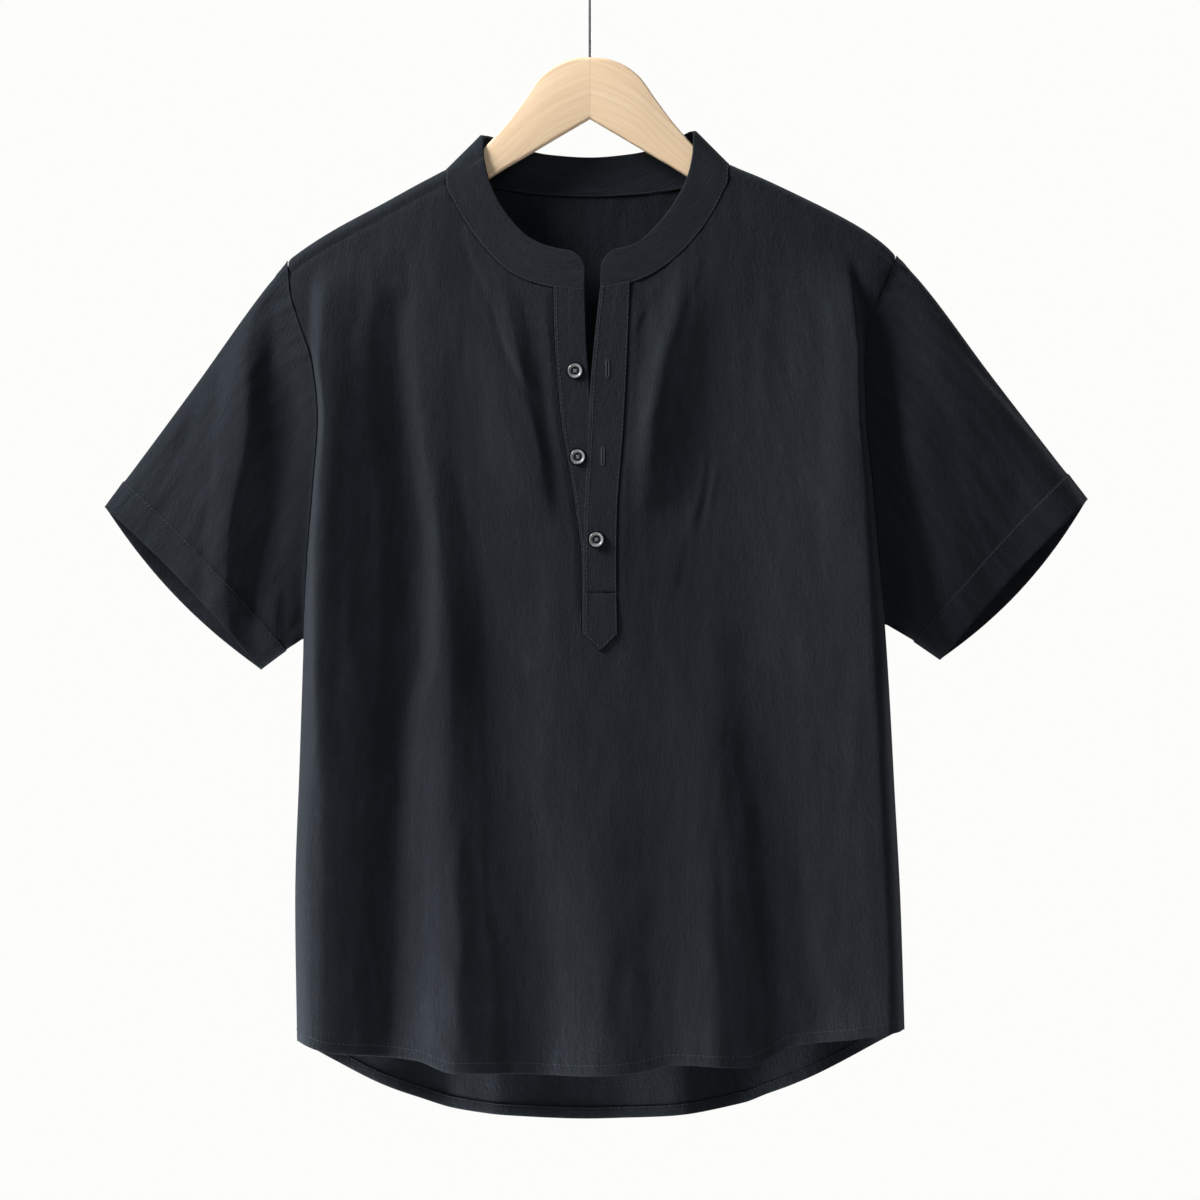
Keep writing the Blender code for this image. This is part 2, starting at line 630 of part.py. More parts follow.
def make_front(collection):
    """The front, slit from the neck, from the shoulder seams down to the curved tail."""
    left = front_half("left")
    right = front_half("right")[:, ::-1]
    middle = left[:, -1:] * 0.5 + right[:, :1] * 0.5
    flat = np.concatenate([left, middle, right], axis=1)
    slit = (left.shape[1] - 1, left.shape[1])
    rows = hung(-1, flat[..., 0], flat[..., 1])
    return cloth("front", rows, CLOTH, collection, skip=lambda j, i: j < SLIT_ROW and i in slit)


def make_back(collection):
    """The back, which rolls over the shoulders to the seam on the front."""
    left_neck = neck_edge(("fall", "back"), "left")[:, [0, 2]]
    right_neck = neck_edge(("fall", "back"), "right")[:, [0, 2]]
    neck = np.concatenate([left_neck, right_neck])
    shoulders = []
    for side, neck_x in (("left", neck[0, 0]), ("right", neck[-1, 0])):
        x = shoulder_x(side, neck_x, ROLL_DROP)[:-1]
        shoulders.append(np.stack([x, ridge(x) + ROLL_DROP], axis=-1))
    top = np.concatenate([shoulders[0], neck, shoulders[1][::-1]])
    near = side_offsets()
    first, last = EDGES["left"][-1].x, EDGES["right"][-1].x
    inner = np.linspace(first + near[-1], last - near[-1], len(top) - 2 * len(near) + 2)[1:-1]
    x = np.concatenate([[first + o for o in near], inner, [last - o for o in near[::-1]]])
    bottom = np.stack([x, smooth(HEMS, "x", "back", x)], axis=-1)
    left = edge_line("left", top[0, 1], bottom[0, 1])
    right = edge_line("right", top[-1, 1], bottom[-1, 1])
    flat = patch(top, bottom, left, right)
    body = hung(1, flat[..., 0], flat[..., 1])
    count = len(shoulders[0])
    rows = rolled_rows(body[0], count) + list(body)
    wings = len(ROLL_ANGLES) + 1
    gap = range(count, len(top) - 1 - count)
    return cloth("back", rows, CLOTH, collection, flip=True, skip=lambda j, i: j < wings and i in gap)


def rolled_rows(start, count):
    """Rows from the front shoulder seam over the ridge to the back's first row."""
    rows = [start.copy() for angle in (None,) + ROLL_ANGLES]
    for side in ("left", "right"):
        neck = neck_edge(("junction", "roll"), side)
        neck = neck if side == "left" else neck[::-1]
        crown = [row for row in NECKLINE if row.kind == "ridge" and row.seam_x * sign_of(side) > 0][0]
        on_ridge = shoulder_x(side, crown.seam_x, 0.0)
        at_front = shoulder_x(side, neck[0][0], SHOULDER_SEAM_DROP)
        for row, angle, neck_point in zip(rows, (None,) + ROLL_ANGLES, neck):
            for k in range(count):
                i = k if side == "left" else len(start) - 1 - k
                x = between(on_ridge[k], at_front[k], start[i][0], angle)
                row[i] = shoulder_point(x, angle)
                if angle is None:
                    row[i] = hung(-1, x, ridge(x) + SHOULDER_SEAM_DROP - SHOULDER_GAP / 2)
                if k == 0 and angle is not None:
                    row[i] = armhole_point(side, angle)
            lifted = SHOULDER_GAP / 2 if angle is None else 0.0
            row[count if side == "left" else len(start) - 1 - count] = neck_point - [0.0, 0.0, lifted]
    return rows


def armhole_point(side, angle):
    """A point of the body's edge where it runs over the shoulder's tip."""
    if angle is None:
        return shoulder_point(outer_x(side, SHOULDER_SEAM_DROP), None)
    return roll(outer_x(side, ROLL_DROP * (1.0 - math.sin(math.radians(angle)))), angle)


# ---------------------------------------------------------------- collar and placket
def make_collar_band(collection):
    """The band: from the neck seam up to its free edge, with round front corners."""
    stations = neck_stations()
    ends = [stations[0].seam[0], stations[-1].seam[0]]
    rows = []
    for kind, seam, top in stations:
        height = np.linalg.norm(top - seam)
        away = (top - seam) / height
        from_end = min(abs(seam[0] - end) for end in ends)
        if kind == "front" and from_end < BAND_CORNER:
            height -= BAND_CORNER - math.sqrt(BAND_CORNER ** 2 - (BAND_CORNER - from_end) ** 2)
        proud = np.array([0.0, math.copysign(BAND_PROUD, seam[1]), 0.0])
        if abs(seam[1]) < 1.0:
            proud[1] = 0.0
        row = [seam + proud + away * (SEAM / 2 + (height - SEAM / 2) * part) for part in BAND_ROWS]
        rows.append(row)
    return cloth("collar_band", rows, BAND_CLOTH, collection, flip=True)


def strip_rows(left, right, foot, moved_out):
    """Rows of a placket strip laid on the front's own surface and moved out from it."""
    rows = []
    for part in UPPER_ROWS:
        row = []
        for across in STRIP_COLUMNS:
            x = left(SLIT_HEAD) + (right(SLIT_HEAD) - left(SLIT_HEAD)) * across
            top = neck_drop(x) + SEAM
            drop = top + (foot - top) * part
            x = left(drop) + (right(drop) - left(drop)) * across
            point = hung(-1, x, drop)
            point[1] -= moved_out
            row.append(point)
        rows.append(row)
    return rows


def make_placket_under(collection):
    """The underlap, sewn edge to edge to the slit's left side, level with the front."""
    def left(drop):
        return smooth(STRIPS, "drop", "under_left", drop) + SEAM

    def right(drop):
        return np.minimum(left(drop) + UNDERLAP_WIDTH, UNDERLAP_REACH)

    rows = strip_rows(left, right, SLIT_FOOT - SEAM, 0.0)
    return cloth("placket_under", rows, CLOTH, collection)


def make_placket_over(collection):
    """The overlap, laid on the front over the slit, with a pointed foot."""
    def left(drop):
        return smooth(STRIPS, "drop", "over_left", drop)

    def right(drop):
        return smooth(STRIPS, "drop", "over_right", drop)

    moved_out = OVERLAP_LIFT + PLACKET_CLOTH
    rows = strip_rows(left, right, SLIT_FOOT, moved_out)
    foot = []
    for point in rows[-1]:
        across = (point[0] - left(SLIT_FOOT)) / (right(SLIT_FOOT) - left(SLIT_FOOT))
        drop = SLIT_FOOT + (TIP_DROP - SLIT_FOOT) * (1.0 - abs(2.0 * across - 1.0))
        tip = hung(-1, point[0], drop)
        tip[1] -= moved_out
        foot.append(tip)
    return cloth("placket_over", rows[:-1] + [foot], PLACKET_CLOTH, collection)


# ---------------------------------------------------------------- sleeves
SLEEVE_PLACES = (0, .06, .13, .22, .32, .43, .55, .67, .79, .9, 1)


def armhole_ring(side):
    """The armhole seam: points of the body's edge, from the ridge down the front and up the back."""
    front = [armhole_point(side, angle) for angle in (90, 120, 150, 180, None)]
    front_top = front[-1][2] + SHOULDER_GAP / 2
    front += [hung(-1, x, drop) for x, drop in edge_line(side, front_top, UNDERARMS[side])[1:SLIT_ROW]]
    under = [np.array([float(edge_x(side, UNDERARMS[side])), 0.0, UNDERARMS[side]])]
    fall = [armhole_point(side, angle) for angle in (0, 30, 60)]
    back = [hung(1, x, drop) for x, drop in edge_line(side, fall[0][2], UNDERARMS[side])[1:SLIT_ROW]]
    return front + under + back[::-1] + fall


def sleeve_section(row, part, face, folds, fold_part):
    """A point of a sleeve's section: part goes from its upper fold to its fold under the arm."""
    swell = (4.0 * part * (1.0 - part)) ** SLEEVE_FLATNESS
    depth = row["front"] if face < 0 else row["back"]
    bow = row["front_bow"] if face < 0 else row["back_bow"]
    top = np.array([row["top_x"], row["top_drop"]])
    under = np.array([row["under_x"], row["under_drop"]])
    along = np.array([top[1] - under[1], under[0] - top[0]]) / np.linalg.norm(under - top)
    along = along * math.copysign(1.0, along[0] * top[0])
    x, drop = top + (under - top) * part + along * bow * 4.0 * part * (1.0 - part)
    fold = float(folded(folds[face], x, drop)) * float(ease(swell / SLEEVE_FOLD_RIM)) * fold_part
    return np.array([x, face * (depth * swell + fold), drop])


def make_sleeve(side, sections, folds, collection):
    """A short sleeve: a tube from the armhole ring to the wide cuff."""
    ring = armhole_ring(side)
    start = float(ridge(TIPS[side]))
    parts = np.clip([(point[2] - start) / (UNDERARMS[side] - start) for point in ring], 0.0, 1.0)
    faces = [-1 if point[1] < 0 else 1 for point in ring]
    names = Section._fields
    first = {name: float(getattr(sections[0], name)) for name in names}
    begin = [sleeve_section(first, part, face, folds, 0.0) for part, face in zip(parts, faces)]
    outward = np.array([sign_of(side) * SLEEVE_SEAM, 0.0, 0.0])
    rows = []
    for place in SLEEVE_PLACES:
        read = {name: float(smooth(sections, "at", name, place)) for name in names}
        drawn = 1.0 - float(ease(place / ARMHOLE_REACH))
        row = []
        for point, plain, part, face in zip(ring, begin, parts, faces):
            section = sleeve_section(read, part, face, folds, float(ease(place / SLEEVE_FOLD_START)))
            row.append(section + (point + outward - plain) * drawn)
        rows.append(row)
    return cloth("sleeve_" + side, rows, CLOTH, collection, ring=True, flip=side == "right")


# ---------------------------------------------------------------- buttons and hanger
def make_buttons(collection, tools):
    """Three turned buttons with four holes, each lying on its placket strip."""
    holes = make_hole_cutter(tools)
    for button in BUTTONS:
        bm = bmesh.new()
        verts = [bm.verts.new((turn.radius * MM, 0.0, turn.height * MM)) for turn in BUTTON_PROFILE]
        for first, second in zip(verts, verts[1:]):
            bm.edges.new((first, second))
        mesh = bpy.data.meshes.new(button.name)
        bm.to_mesh(mesh)
        bm.free()
        thing = add_object(button.name, mesh, "dark_button", collection)
        turned = thing.modifiers.new("turned", "SCREW")
        turned.steps = BUTTON_STEPS
        turned.render_steps = BUTTON_STEPS
        turned.use_merge_vertices = True
        turned.merge_threshold = 0.00001
        moved_out = SEAM + (SEAM + PLACKET_CLOTH if button.strip == "over" else 0.0)
        seat = highest_under(button) + moved_out
        cutter = holes.copy()
        tools.objects.link(cutter)
        for item in (thing, cutter):
            item.location = placed((button.x, -seat, button.drop))
            item.rotation_euler = (math.radians(90.0), 0.0, 0.0)
        drilled = thing.modifiers.new("holes", "BOOLEAN")
        drilled.operation = "DIFFERENCE"
        drilled.object = cutter
    tools.objects.unlink(holes)
    bpy.data.objects.remove(holes)


def highest_under(button):
    """How far the cloth stands out at its proudest point under a button."""
    reach = [-BUTTON_RADIUS, 0.0, BUTTON_RADIUS]
    return max(float(stand_out(-1, button.x + dx, button.drop + dd)) for dx in reach for dd in reach)


def make_hole_cutter(tools):
    """Four rods that drill a button's holes."""
    bm = bmesh.new()
    for x in (-BUTTON_HOLE_OFFSET, BUTTON_HOLE_OFFSET):
        for y in (-BUTTON_HOLE_OFFSET, BUTTON_HOLE_OFFSET):
            made = bmesh.ops.create_cone(bm, cap_ends=True, segments=8, radius1=BUTTON_HOLE_RADIUS * MM,
                                         radius2=BUTTON_HOLE_RADIUS * MM, depth=DRILL_LENGTH * MM)
            bmesh.ops.translate(bm, verts=made["verts"], vec=(x * MM, y * MM, 0.0))
    mesh = bpy.data.meshes.new("hole_cutter")
    bm.to_mesh(mesh)
    bm.free()
    return add_tool("hole_cutter", mesh, tools)


def add_tool(name, mesh, tools):
    """Put a cutter in the scene as a wire that isn't part of the model."""
    tool = bpy.data.objects.new(name, mesh)
    tools.objects.link(tool)
    tool.hide_render = True
    tool.display_type = "WIRE"
    return tool


def make_hanger_body(collection, tools):
    """The flat board of the hanger, drilled at its apex for the hook."""
    outs = np.concatenate([np.linspace(0, 66, 12), np.linspace(78, 204, 9), [209, 212.5, 214]])
    upper = [(out, float(smooth(BOARD, "out", "top", out))) for out in outs]
    lower = [(out, float(smooth(BOARD, "out", "bottom", out))) for out in outs]
    tip = [(upper[-1][0] + step.out, upper[-1][1] + step.below) for step in ARM_TIP]
    right = upper + tip + lower[::-1]
    outline = right + [(-x, drop) for x, drop in right[::-1] if x > 0.01]
    bm = bmesh.new()
    half = WOOD_THICKNESS / 2
    verts = [bm.verts.new(placed((x, half, drop))) for x, drop in outline]
    face = bm.faces.new(verts)
    pushed = bmesh.ops.extrude_face_region(bm, geom=[face])
    moved = [item for item in pushed["geom"] if isinstance(item, bmesh.types.BMVert)]
    bmesh.ops.translate(bm, verts=moved, vec=(0.0, -WOOD_THICKNESS * MM, 0.0))
    bmesh.ops.recalc_face_normals(bm, faces=bm.faces)
    mesh = bpy.data.meshes.new("hanger_body")
    bm.to_mesh(mesh)
    bm.free()
    board = add_object("hanger_body", mesh, "pale_wood", collection)
    eased = board.modifiers.new("eased edges", "BEVEL")
    eased.width = WOOD_EDGE * MM
    eased.segments = 2
    eased.limit_method = "ANGLE"
    eased.angle_limit = math.radians(60.0)
    bm = bmesh.new()
    bmesh.ops.create_cone(bm, cap_ends=True, segments=12, radius1=(WIRE_RADIUS + SEAM) * MM,
                          radius2=(WIRE_RADIUS + SEAM) * MM, depth=2 * STEM_HOLE_DEPTH * MM)
    drill_mesh = bpy.data.meshes.new("stem_drill")
    bm.to_mesh(drill_mesh)
    bm.free()
    drill = add_tool("stem_drill", drill_mesh, tools)
    drill.location = (0.0, 0.0, WOOD_TOP * MM)
    drilled = board.modifiers.new("stem hole", "BOOLEAN")
    drilled.operation = "DIFFERENCE"
    drilled.object = drill
    return board


def make_hanger_hook(collection):
    """The wire: a straight stem, a bend to the side, and a bow whose inner crown is the origin."""
    centre = WIRE_RADIUS - HOOK_RADIUS
    points = [(0.0, WOOD_TOP - STEM_HOLE_DEPTH + SEAM), (0.0, WOOD_TOP / 2 + STEM_TOP / 2)]
    for step in range(BEND_STEPS):
        t = step / BEND_STEPS
        x = HOOK_RADIUS * (3 * t ** 2 - 2 * t ** 3)
        points.append((x, STEM_TOP + (centre - STEM_TOP) * t))
    for angle in range(0, BOW_TURN + 1, BOW_STEP):
        turn = math.radians(angle)
        points.append((HOOK_RADIUS * math.cos(turn), centre + HOOK_RADIUS * math.sin(turn)))
    curve = bpy.data.curves.new("hanger_hook", "CURVE")
    curve.dimensions = "3D"
    curve.bevel_depth = WIRE_RADIUS * MM
    curve.bevel_resolution = 2
    curve.use_fill_caps = True
    line = curve.splines.new("POLY")
    line.points.add(len(points) - 1)
    for spot, (x, z) in zip(line.points, points):
        spot.co = (x * MM, 0.0, z * MM, 1.0)
    hook = bpy.data.objects.new("hanger_hook", curve)
    curve.materials.append(made_material("bright_wire"))
    collection.objects.link(hook)
    return hook


def main():
    """Empty the scene and build the shirt and its hanger."""
    for thing in list(bpy.data.objects):
        bpy.data.objects.remove(thing)
    shirt = bpy.data.collections.new("linen_shirt")
    tools = bpy.data.collections.new("cutters")
    bpy.context.scene.collection.children.link(shirt)
    bpy.context.scene.collection.children.link(tools)
    make_front(shirt)
    make_back(shirt)
    make_sleeve("left", LEFT_SLEEVE, LEFT_SLEEVE_FOLDS, shirt)
    make_sleeve("right", RIGHT_SLEEVE, RIGHT_SLEEVE_FOLDS, shirt)
    make_collar_band(shirt)
    make_placket_under(shirt)
    make_placket_over(shirt)
    make_buttons(shirt, tools)
    make_hanger_body(shirt, tools)
    make_hanger_hook(shirt)


main()
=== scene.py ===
# %% [markdown]
# # A black linen shirt on a wooden hanger
# The shirt hangs with its front to us: a band collar, a half placket with three buttons, two short
# sleeves and a curved tail. Cloth could be simulated, but then its folds fall where they like. Here
# every piece is a fine grid of points laid on the same form as its CAD solid, and the folds are
# placed one by one, so that they lie where they do on the real one.

import math
from collections import namedtuple

import bmesh
import bpy
import numpy as np
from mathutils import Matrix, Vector
from mathutils.kdtree import KDTree


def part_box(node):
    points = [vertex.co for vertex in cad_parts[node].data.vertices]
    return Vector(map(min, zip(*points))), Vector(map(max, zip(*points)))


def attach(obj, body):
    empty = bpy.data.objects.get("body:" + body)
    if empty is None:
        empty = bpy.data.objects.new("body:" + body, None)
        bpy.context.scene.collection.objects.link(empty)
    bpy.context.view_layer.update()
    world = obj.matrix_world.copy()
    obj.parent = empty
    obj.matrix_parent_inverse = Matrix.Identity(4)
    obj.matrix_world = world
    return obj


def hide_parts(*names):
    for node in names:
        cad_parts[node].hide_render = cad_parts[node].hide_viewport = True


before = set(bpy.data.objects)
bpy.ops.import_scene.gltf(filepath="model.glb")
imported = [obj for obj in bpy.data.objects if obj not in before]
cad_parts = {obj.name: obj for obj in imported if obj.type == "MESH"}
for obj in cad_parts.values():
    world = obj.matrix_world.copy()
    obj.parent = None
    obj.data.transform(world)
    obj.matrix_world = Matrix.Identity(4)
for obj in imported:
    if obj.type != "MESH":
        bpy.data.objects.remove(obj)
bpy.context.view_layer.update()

# %% [markdown]
# ## Sizes of the shirt
# A place on the shirt is x (across), y (to the back) and drop (below the neck's shoulder point), in
# millimetres, as a maker would measure it on the hanging shirt. These are the CAD model's own sizes.
# Each table lists its columns by name, and the same place in every column is one row.

# %% Sizes and tables of the body
MM = 0.001
NECK_BELOW_HOOK = 179.0
SHOULDER_ROLL = 9.0       # half the depth of the cloth over the hanger's arm
ROLL_DROP = 8.0
SHOULDER_SEAM_DROP = 11.6
SIDE_ROUND = 45.0
TIPS = {"left": -231.0, "right": 234.0}
UNDERARMS = {"left": 358.0, "right": 347.0}
SIGN = {"left": -1, "right": 1}
SHOULDERS = dict(
    out=(0, 60, 107, 130, 160, 190, 210, 225, 235),
    left=(-42, -28, -2, 10, 26.5, 42.5, 54.5, 65, 73.5),
    right=(-42, -28, -4, 5.5, 19.5, 34.5, 46, 57, 67))
EDGES = {                 # front and back: how far the edge stands out on that side
    "left": dict(
        drop=(66, 80, 95, 115, 150, 190, 240, 300, 340, 358, 450, 560, 670),
        x=(-231, -230.5, -229, -223, -212, -208, -211.5, -216.5, -218.5, -219, -222, -225.5, -224),
        front=(9, 9.4, 12, 16, 20.5, 22, 20.5, 14.5, 7, 0, 0, 0, 0),
        back=(9, 9.4, 11.5, 14.5, 17.5, 18.5, 17, 12.5, 6.5, 0, 0, 0, 0)),
    "right": dict(
        drop=(60, 66, 80, 95, 115, 150, 190, 240, 295, 330, 347, 400, 475, 560, 670),
        x=(236, 234, 229.5, 223, 215, 210, 211, 216, 221, 224, 225.5, 229, 233, 237.5, 241),
        front=(9, 9, 9.6, 12.5, 16.5, 20.5, 22, 20, 13.5, 6.5, 0, 0, 0, 0, 0),
        back=(9, 9, 9.6, 12, 14.5, 17.5, 18.5, 16.5, 12, 6, 0, 0, 0, 0, 0)),
}
HEMS = dict(
    x=(-226, -197, -159, -133, -104, -60, 0, 34, 65, 118, 136, 154, 198, 241),
    front=(664, 673, 676, 679, 688, 688.5, 690.5, 688, 682, 684, 677, 668, 663, 656),
    back=(665, 682, 701, 711, 720, 725, 728, 727, 725, 716, 709, 702, 681, 657))

# %% The placket: its slit and its two strips
SLIT_RIGHT = 15.0
SLIT_HEAD = 90.0
SLIT_FOOT = 355.0
TIP_DROP = 368.0
CROSS_DROP = 323.0        # the stitched line across the overlap
STRIPS = dict(
    drop=(86, 130, 164, 200, 230, 260, 298, 355),
    under_left=(-28.2, -27, -24.5, -21, -15.5, -11, -6.5, -6),
    over_left=(8.3, 3.5, 0.5, -1, -2.5, -4, -4.8, -4.8),
    over_right=(30.5, 29, 27.5, 25.5, 23, 21, 20.3, 21))

# %% The neck seam and the band's free edge, from the underlap round the back to the overlap
Neck = namedtuple("Neck", "kind seam_x seam_drop top_x top_drop lean")
NECKLINE = [Neck(*row) for row in (
    ("front", -4, 91.5, -4, 62.5, 2), ("front", -9, 91.6, -9, 62.6, 2),
    ("front", -15, 91.3, -15, 62.3, 2), ("slit", -28, 89.5, -26, 60.5, 2),
    ("front", -44, 85.5, -37.5, 57, 2), ("front", -60, 78, -48, 51, 2),
    ("front", -77, 62, -60, 38.5, 1.5), ("front", -91, 44, -70, 24, 0.5),
    ("front", -103, 23, -77.5, 6, 0), ("shoulder", -108.5, 9.8, -81, -9, 0),
    ("ridge", -109, -1, -83, -27, 0), ("fall", -104, 4.8, -79, -27, 0),
    ("back", -90, 8.5, -71.5, -25, 0), ("back", -66, 13, -58, -19, 1),
    ("back", -34, 17, -31, -12.5, 2), ("back", 0, 18.5, 0, -10.5, 2),
    ("back", 34, 17, 31, -13, 2), ("back", 66, 13, 58, -20, 1),
    ("back", 88, 6.5, 70.5, -27, 0), ("fall", 101.5, 1, 76.5, -30, 0),
    ("ridge", 105.5, -5, 80, -30, 0), ("shoulder", 104.5, 6.5, 78.5, -13, 0),
    ("front", 100, 18, 75.5, 1.5, 0), ("front", 90, 37, 68, 19, 0.5),
    ("front", 75, 56.5, 57.5, 35, 1.5), ("front", 57, 73, 45.5, 48.5, 2),
    ("front", 43, 81.5, 36.5, 56, 2), ("front", 29.5, 86.8, 27.5, 59.5, 2),
    ("slit", 15, 90, 15, 62, 2), ("front", 11.5, 90.7, 11.5, 62.7, 2), ("front", 8, 91, 8, 63, 2),
)]

# %% The sleeves' sections, from the armhole (0) to the cuff (1)
SLEEVES = {
    "left": dict(
        at=(0, 0.12, 0.5, 1), top_x=(-231.5, -249, -301, -370.5), top_drop=(70.5, 91.5, 164, 258),
        under_x=(-219, -222.5, -234.5, -252), under_drop=(358, 360.5, 368.5, 381.5),
        front=(21, 20, 20, 18), back=(18, 17, 16, 15), front_bow=(0, 0, 0, -4), back_bow=(0, 0, 3, 9)),
    "right": dict(
        at=(0, 0.12, 0.5, 1), top_x=(235, 252.5, 307, 380), top_drop=(67, 85, 157.5, 252),
        under_x=(225.5, 230.5, 246.5, 268), under_drop=(347, 350, 359.5, 374),
        front=(21, 20, 20, 18), back=(18, 17, 16, 15), front_bow=(0, 0, 0, -3), back_bow=(0, 0, 3, 10)),
}

# %% [markdown]
# ## Reading the tables
# A table holds a few rows, and the cloth needs hundreds of points between them. A cubic curve that
# never overshoots its rows gives smooth seams with no ripples of its own. Every function takes whole
# arrays, so a piece with 70,000 points is made in a moment.

# %% Smooth curves
def curve(keys, values, at):
    """Read values at a place, on a curve that never overshoots its points."""
    keys, values = np.asarray(keys, float), np.asarray(values, float)
    steps = np.diff(keys)
    slopes = np.diff(values) / steps
    same_way = slopes[1:] * slopes[:-1] > 0
    total = np.where(same_way, slopes[1:] + slopes[:-1], 1.0)
    middle = np.where(same_way, 2.0 * slopes[1:] * slopes[:-1] / total, 0.0)
    tangents = np.concatenate([slopes[:1], middle, slopes[-1:]])
    at = np.clip(np.asarray(at, float), keys[0], keys[-1])
    i = np.clip(np.searchsorted(keys, at, side="right") - 1, 0, len(steps) - 1)
    t = (at - keys[i]) / steps[i]
    start = (2 * t ** 3 - 3 * t ** 2 + 1) * values[i] + (t ** 3 - 2 * t ** 2 + t) * steps[i] * tangents[i]
    end = (3 * t ** 2 - 2 * t ** 3) * values[i + 1] + (t ** 3 - t ** 2) * steps[i] * tangents[i + 1]
    return start + end


def smooth(table, key, value, at):
    """Read a column of a table at a place."""
    return curve(table[key], table[value], at)


def ease(value):
    """Go from 0 to 1 with no corner at either end."""
    value = np.clip(value, 0.0, 1.0)
    return value * value * (3.0 - 2.0 * value)


def hump(value):
    """1 at a value of 0, falling off softly to both sides."""
    return np.exp(-value ** 2)


def unit(vectors):
    """The same directions with a length of 1."""
    return vectors / np.maximum(np.linalg.norm(vectors, axis=-1, keepdims=True), 1e-9)


def lengths(points):
    """Distance along a line of points, from its first one."""
    return np.concatenate([[0.0], np.cumsum(np.linalg.norm(np.diff(points, axis=0), axis=-1))])


def on_line(s, points, at, read=curve):
    """Points at distances along a line whose own points lie at the distances s."""
    if read is curve:
        return np.stack([curve(s, column, at) for column in points.T], -1)
    return np.stack([np.interp(at, s, column) for column in points.T], -1)


def rumple(u, v, seed):
    """Soft uneven noise from -1 to 1, one hill or hollow per unit of u and v."""
    lattice = np.random.default_rng(seed).uniform(-1.0, 1.0, (64, 64))
    iu, iv = np.floor(u).astype(int), np.floor(v).astype(int)
    fu, fv = ease(u - iu), ease(v - iv)

    def row(dv):
        return lattice[iu % 64, (iv + dv) % 64] * (1 - fu) + lattice[(iu + 1) % 64, (iv + dv) % 64] * fu

    return row(0) * (1 - fv) + row(1) * fv

# %% [markdown]
# ## Folds and creases placed one by one
# A simulation would scatter the folds, so each one is a row here. The CAD solids have the large folds
# too. Small creases lie between them: pleats that fan out from the neck seam, drag lines to the
# placket, short pinches on the chest. A rise above 0 is a ridge, and one below 0 is a trough. Hidden
# sides get similar ones.

# %% Large folds: x, drop, end x, end drop, width to the left and the right, rise, rise at the end
FOLDS = {
    "front": [
        (-202, 90, -208, 340, 12, 14, 2, 2.5), (-146, 110, -141, 720, 38, 22, -2.5, -9),
        (-117, 120, -100, 720, 24, 15, 0.8, 8), (-84, 320, -60, 720, 16, 36, -1, -8.5),
        (62, 480, 60, 720, 36, 18, -1, -4), (88, 320, 99, 720, 32, 18, 0.5, 9),
        (120, 340, 147, 720, 20, 40, -1, -14), (-100, 40, -22, 250, 16, 26, -2.5, -4),
        (72, 84, 36, 230, 16, 18, 2, 3.5), (100, 110, 62, 270, 18, 20, -1.5, -3),
        (186, 80, 191, 280, 16, 14, 1.5, 2.5),
    ],
    "back": [
        (-186, 90, -194, 400, 14, 14, 2.5, 2.5), (-152, 130, -160, 760, 34, 24, -2.5, -8),
        (-104, 180, -112, 760, 30, 16, 2, 7.5), (-62, 300, -70, 760, 14, 34, -2, -7.5),
        (8, 330, 14, 760, 40, 30, 1.5, 5), (60, 240, 72, 760, 24, 18, -2, -8),
        (112, 160, 116, 760, 22, 34, 2.5, 8), (166, 140, 172, 760, 24, 30, -2.5, -8.5),
    ],
    ("left", -1): [(-238, 100, -268, 356, 16, 18, -4, -11), (-260, 118, -302, 300, 18, 18, 2.5, 4.5)],
    ("left", 1): [(-240, 110, -280, 340, 20, 22, -4, -7), (-268, 130, -322, 300, 18, 18, 2.5, 5)],
    ("right", -1): [(234, 128, 254, 352, 16, 18, -3.5, -8), (256, 130, 284, 340, 18, 20, 2, 4)],
    ("right", 1): [(244, 110, 284, 340, 22, 20, -4, -7), (272, 130, 330, 295, 18, 18, 2.5, 5)],
}

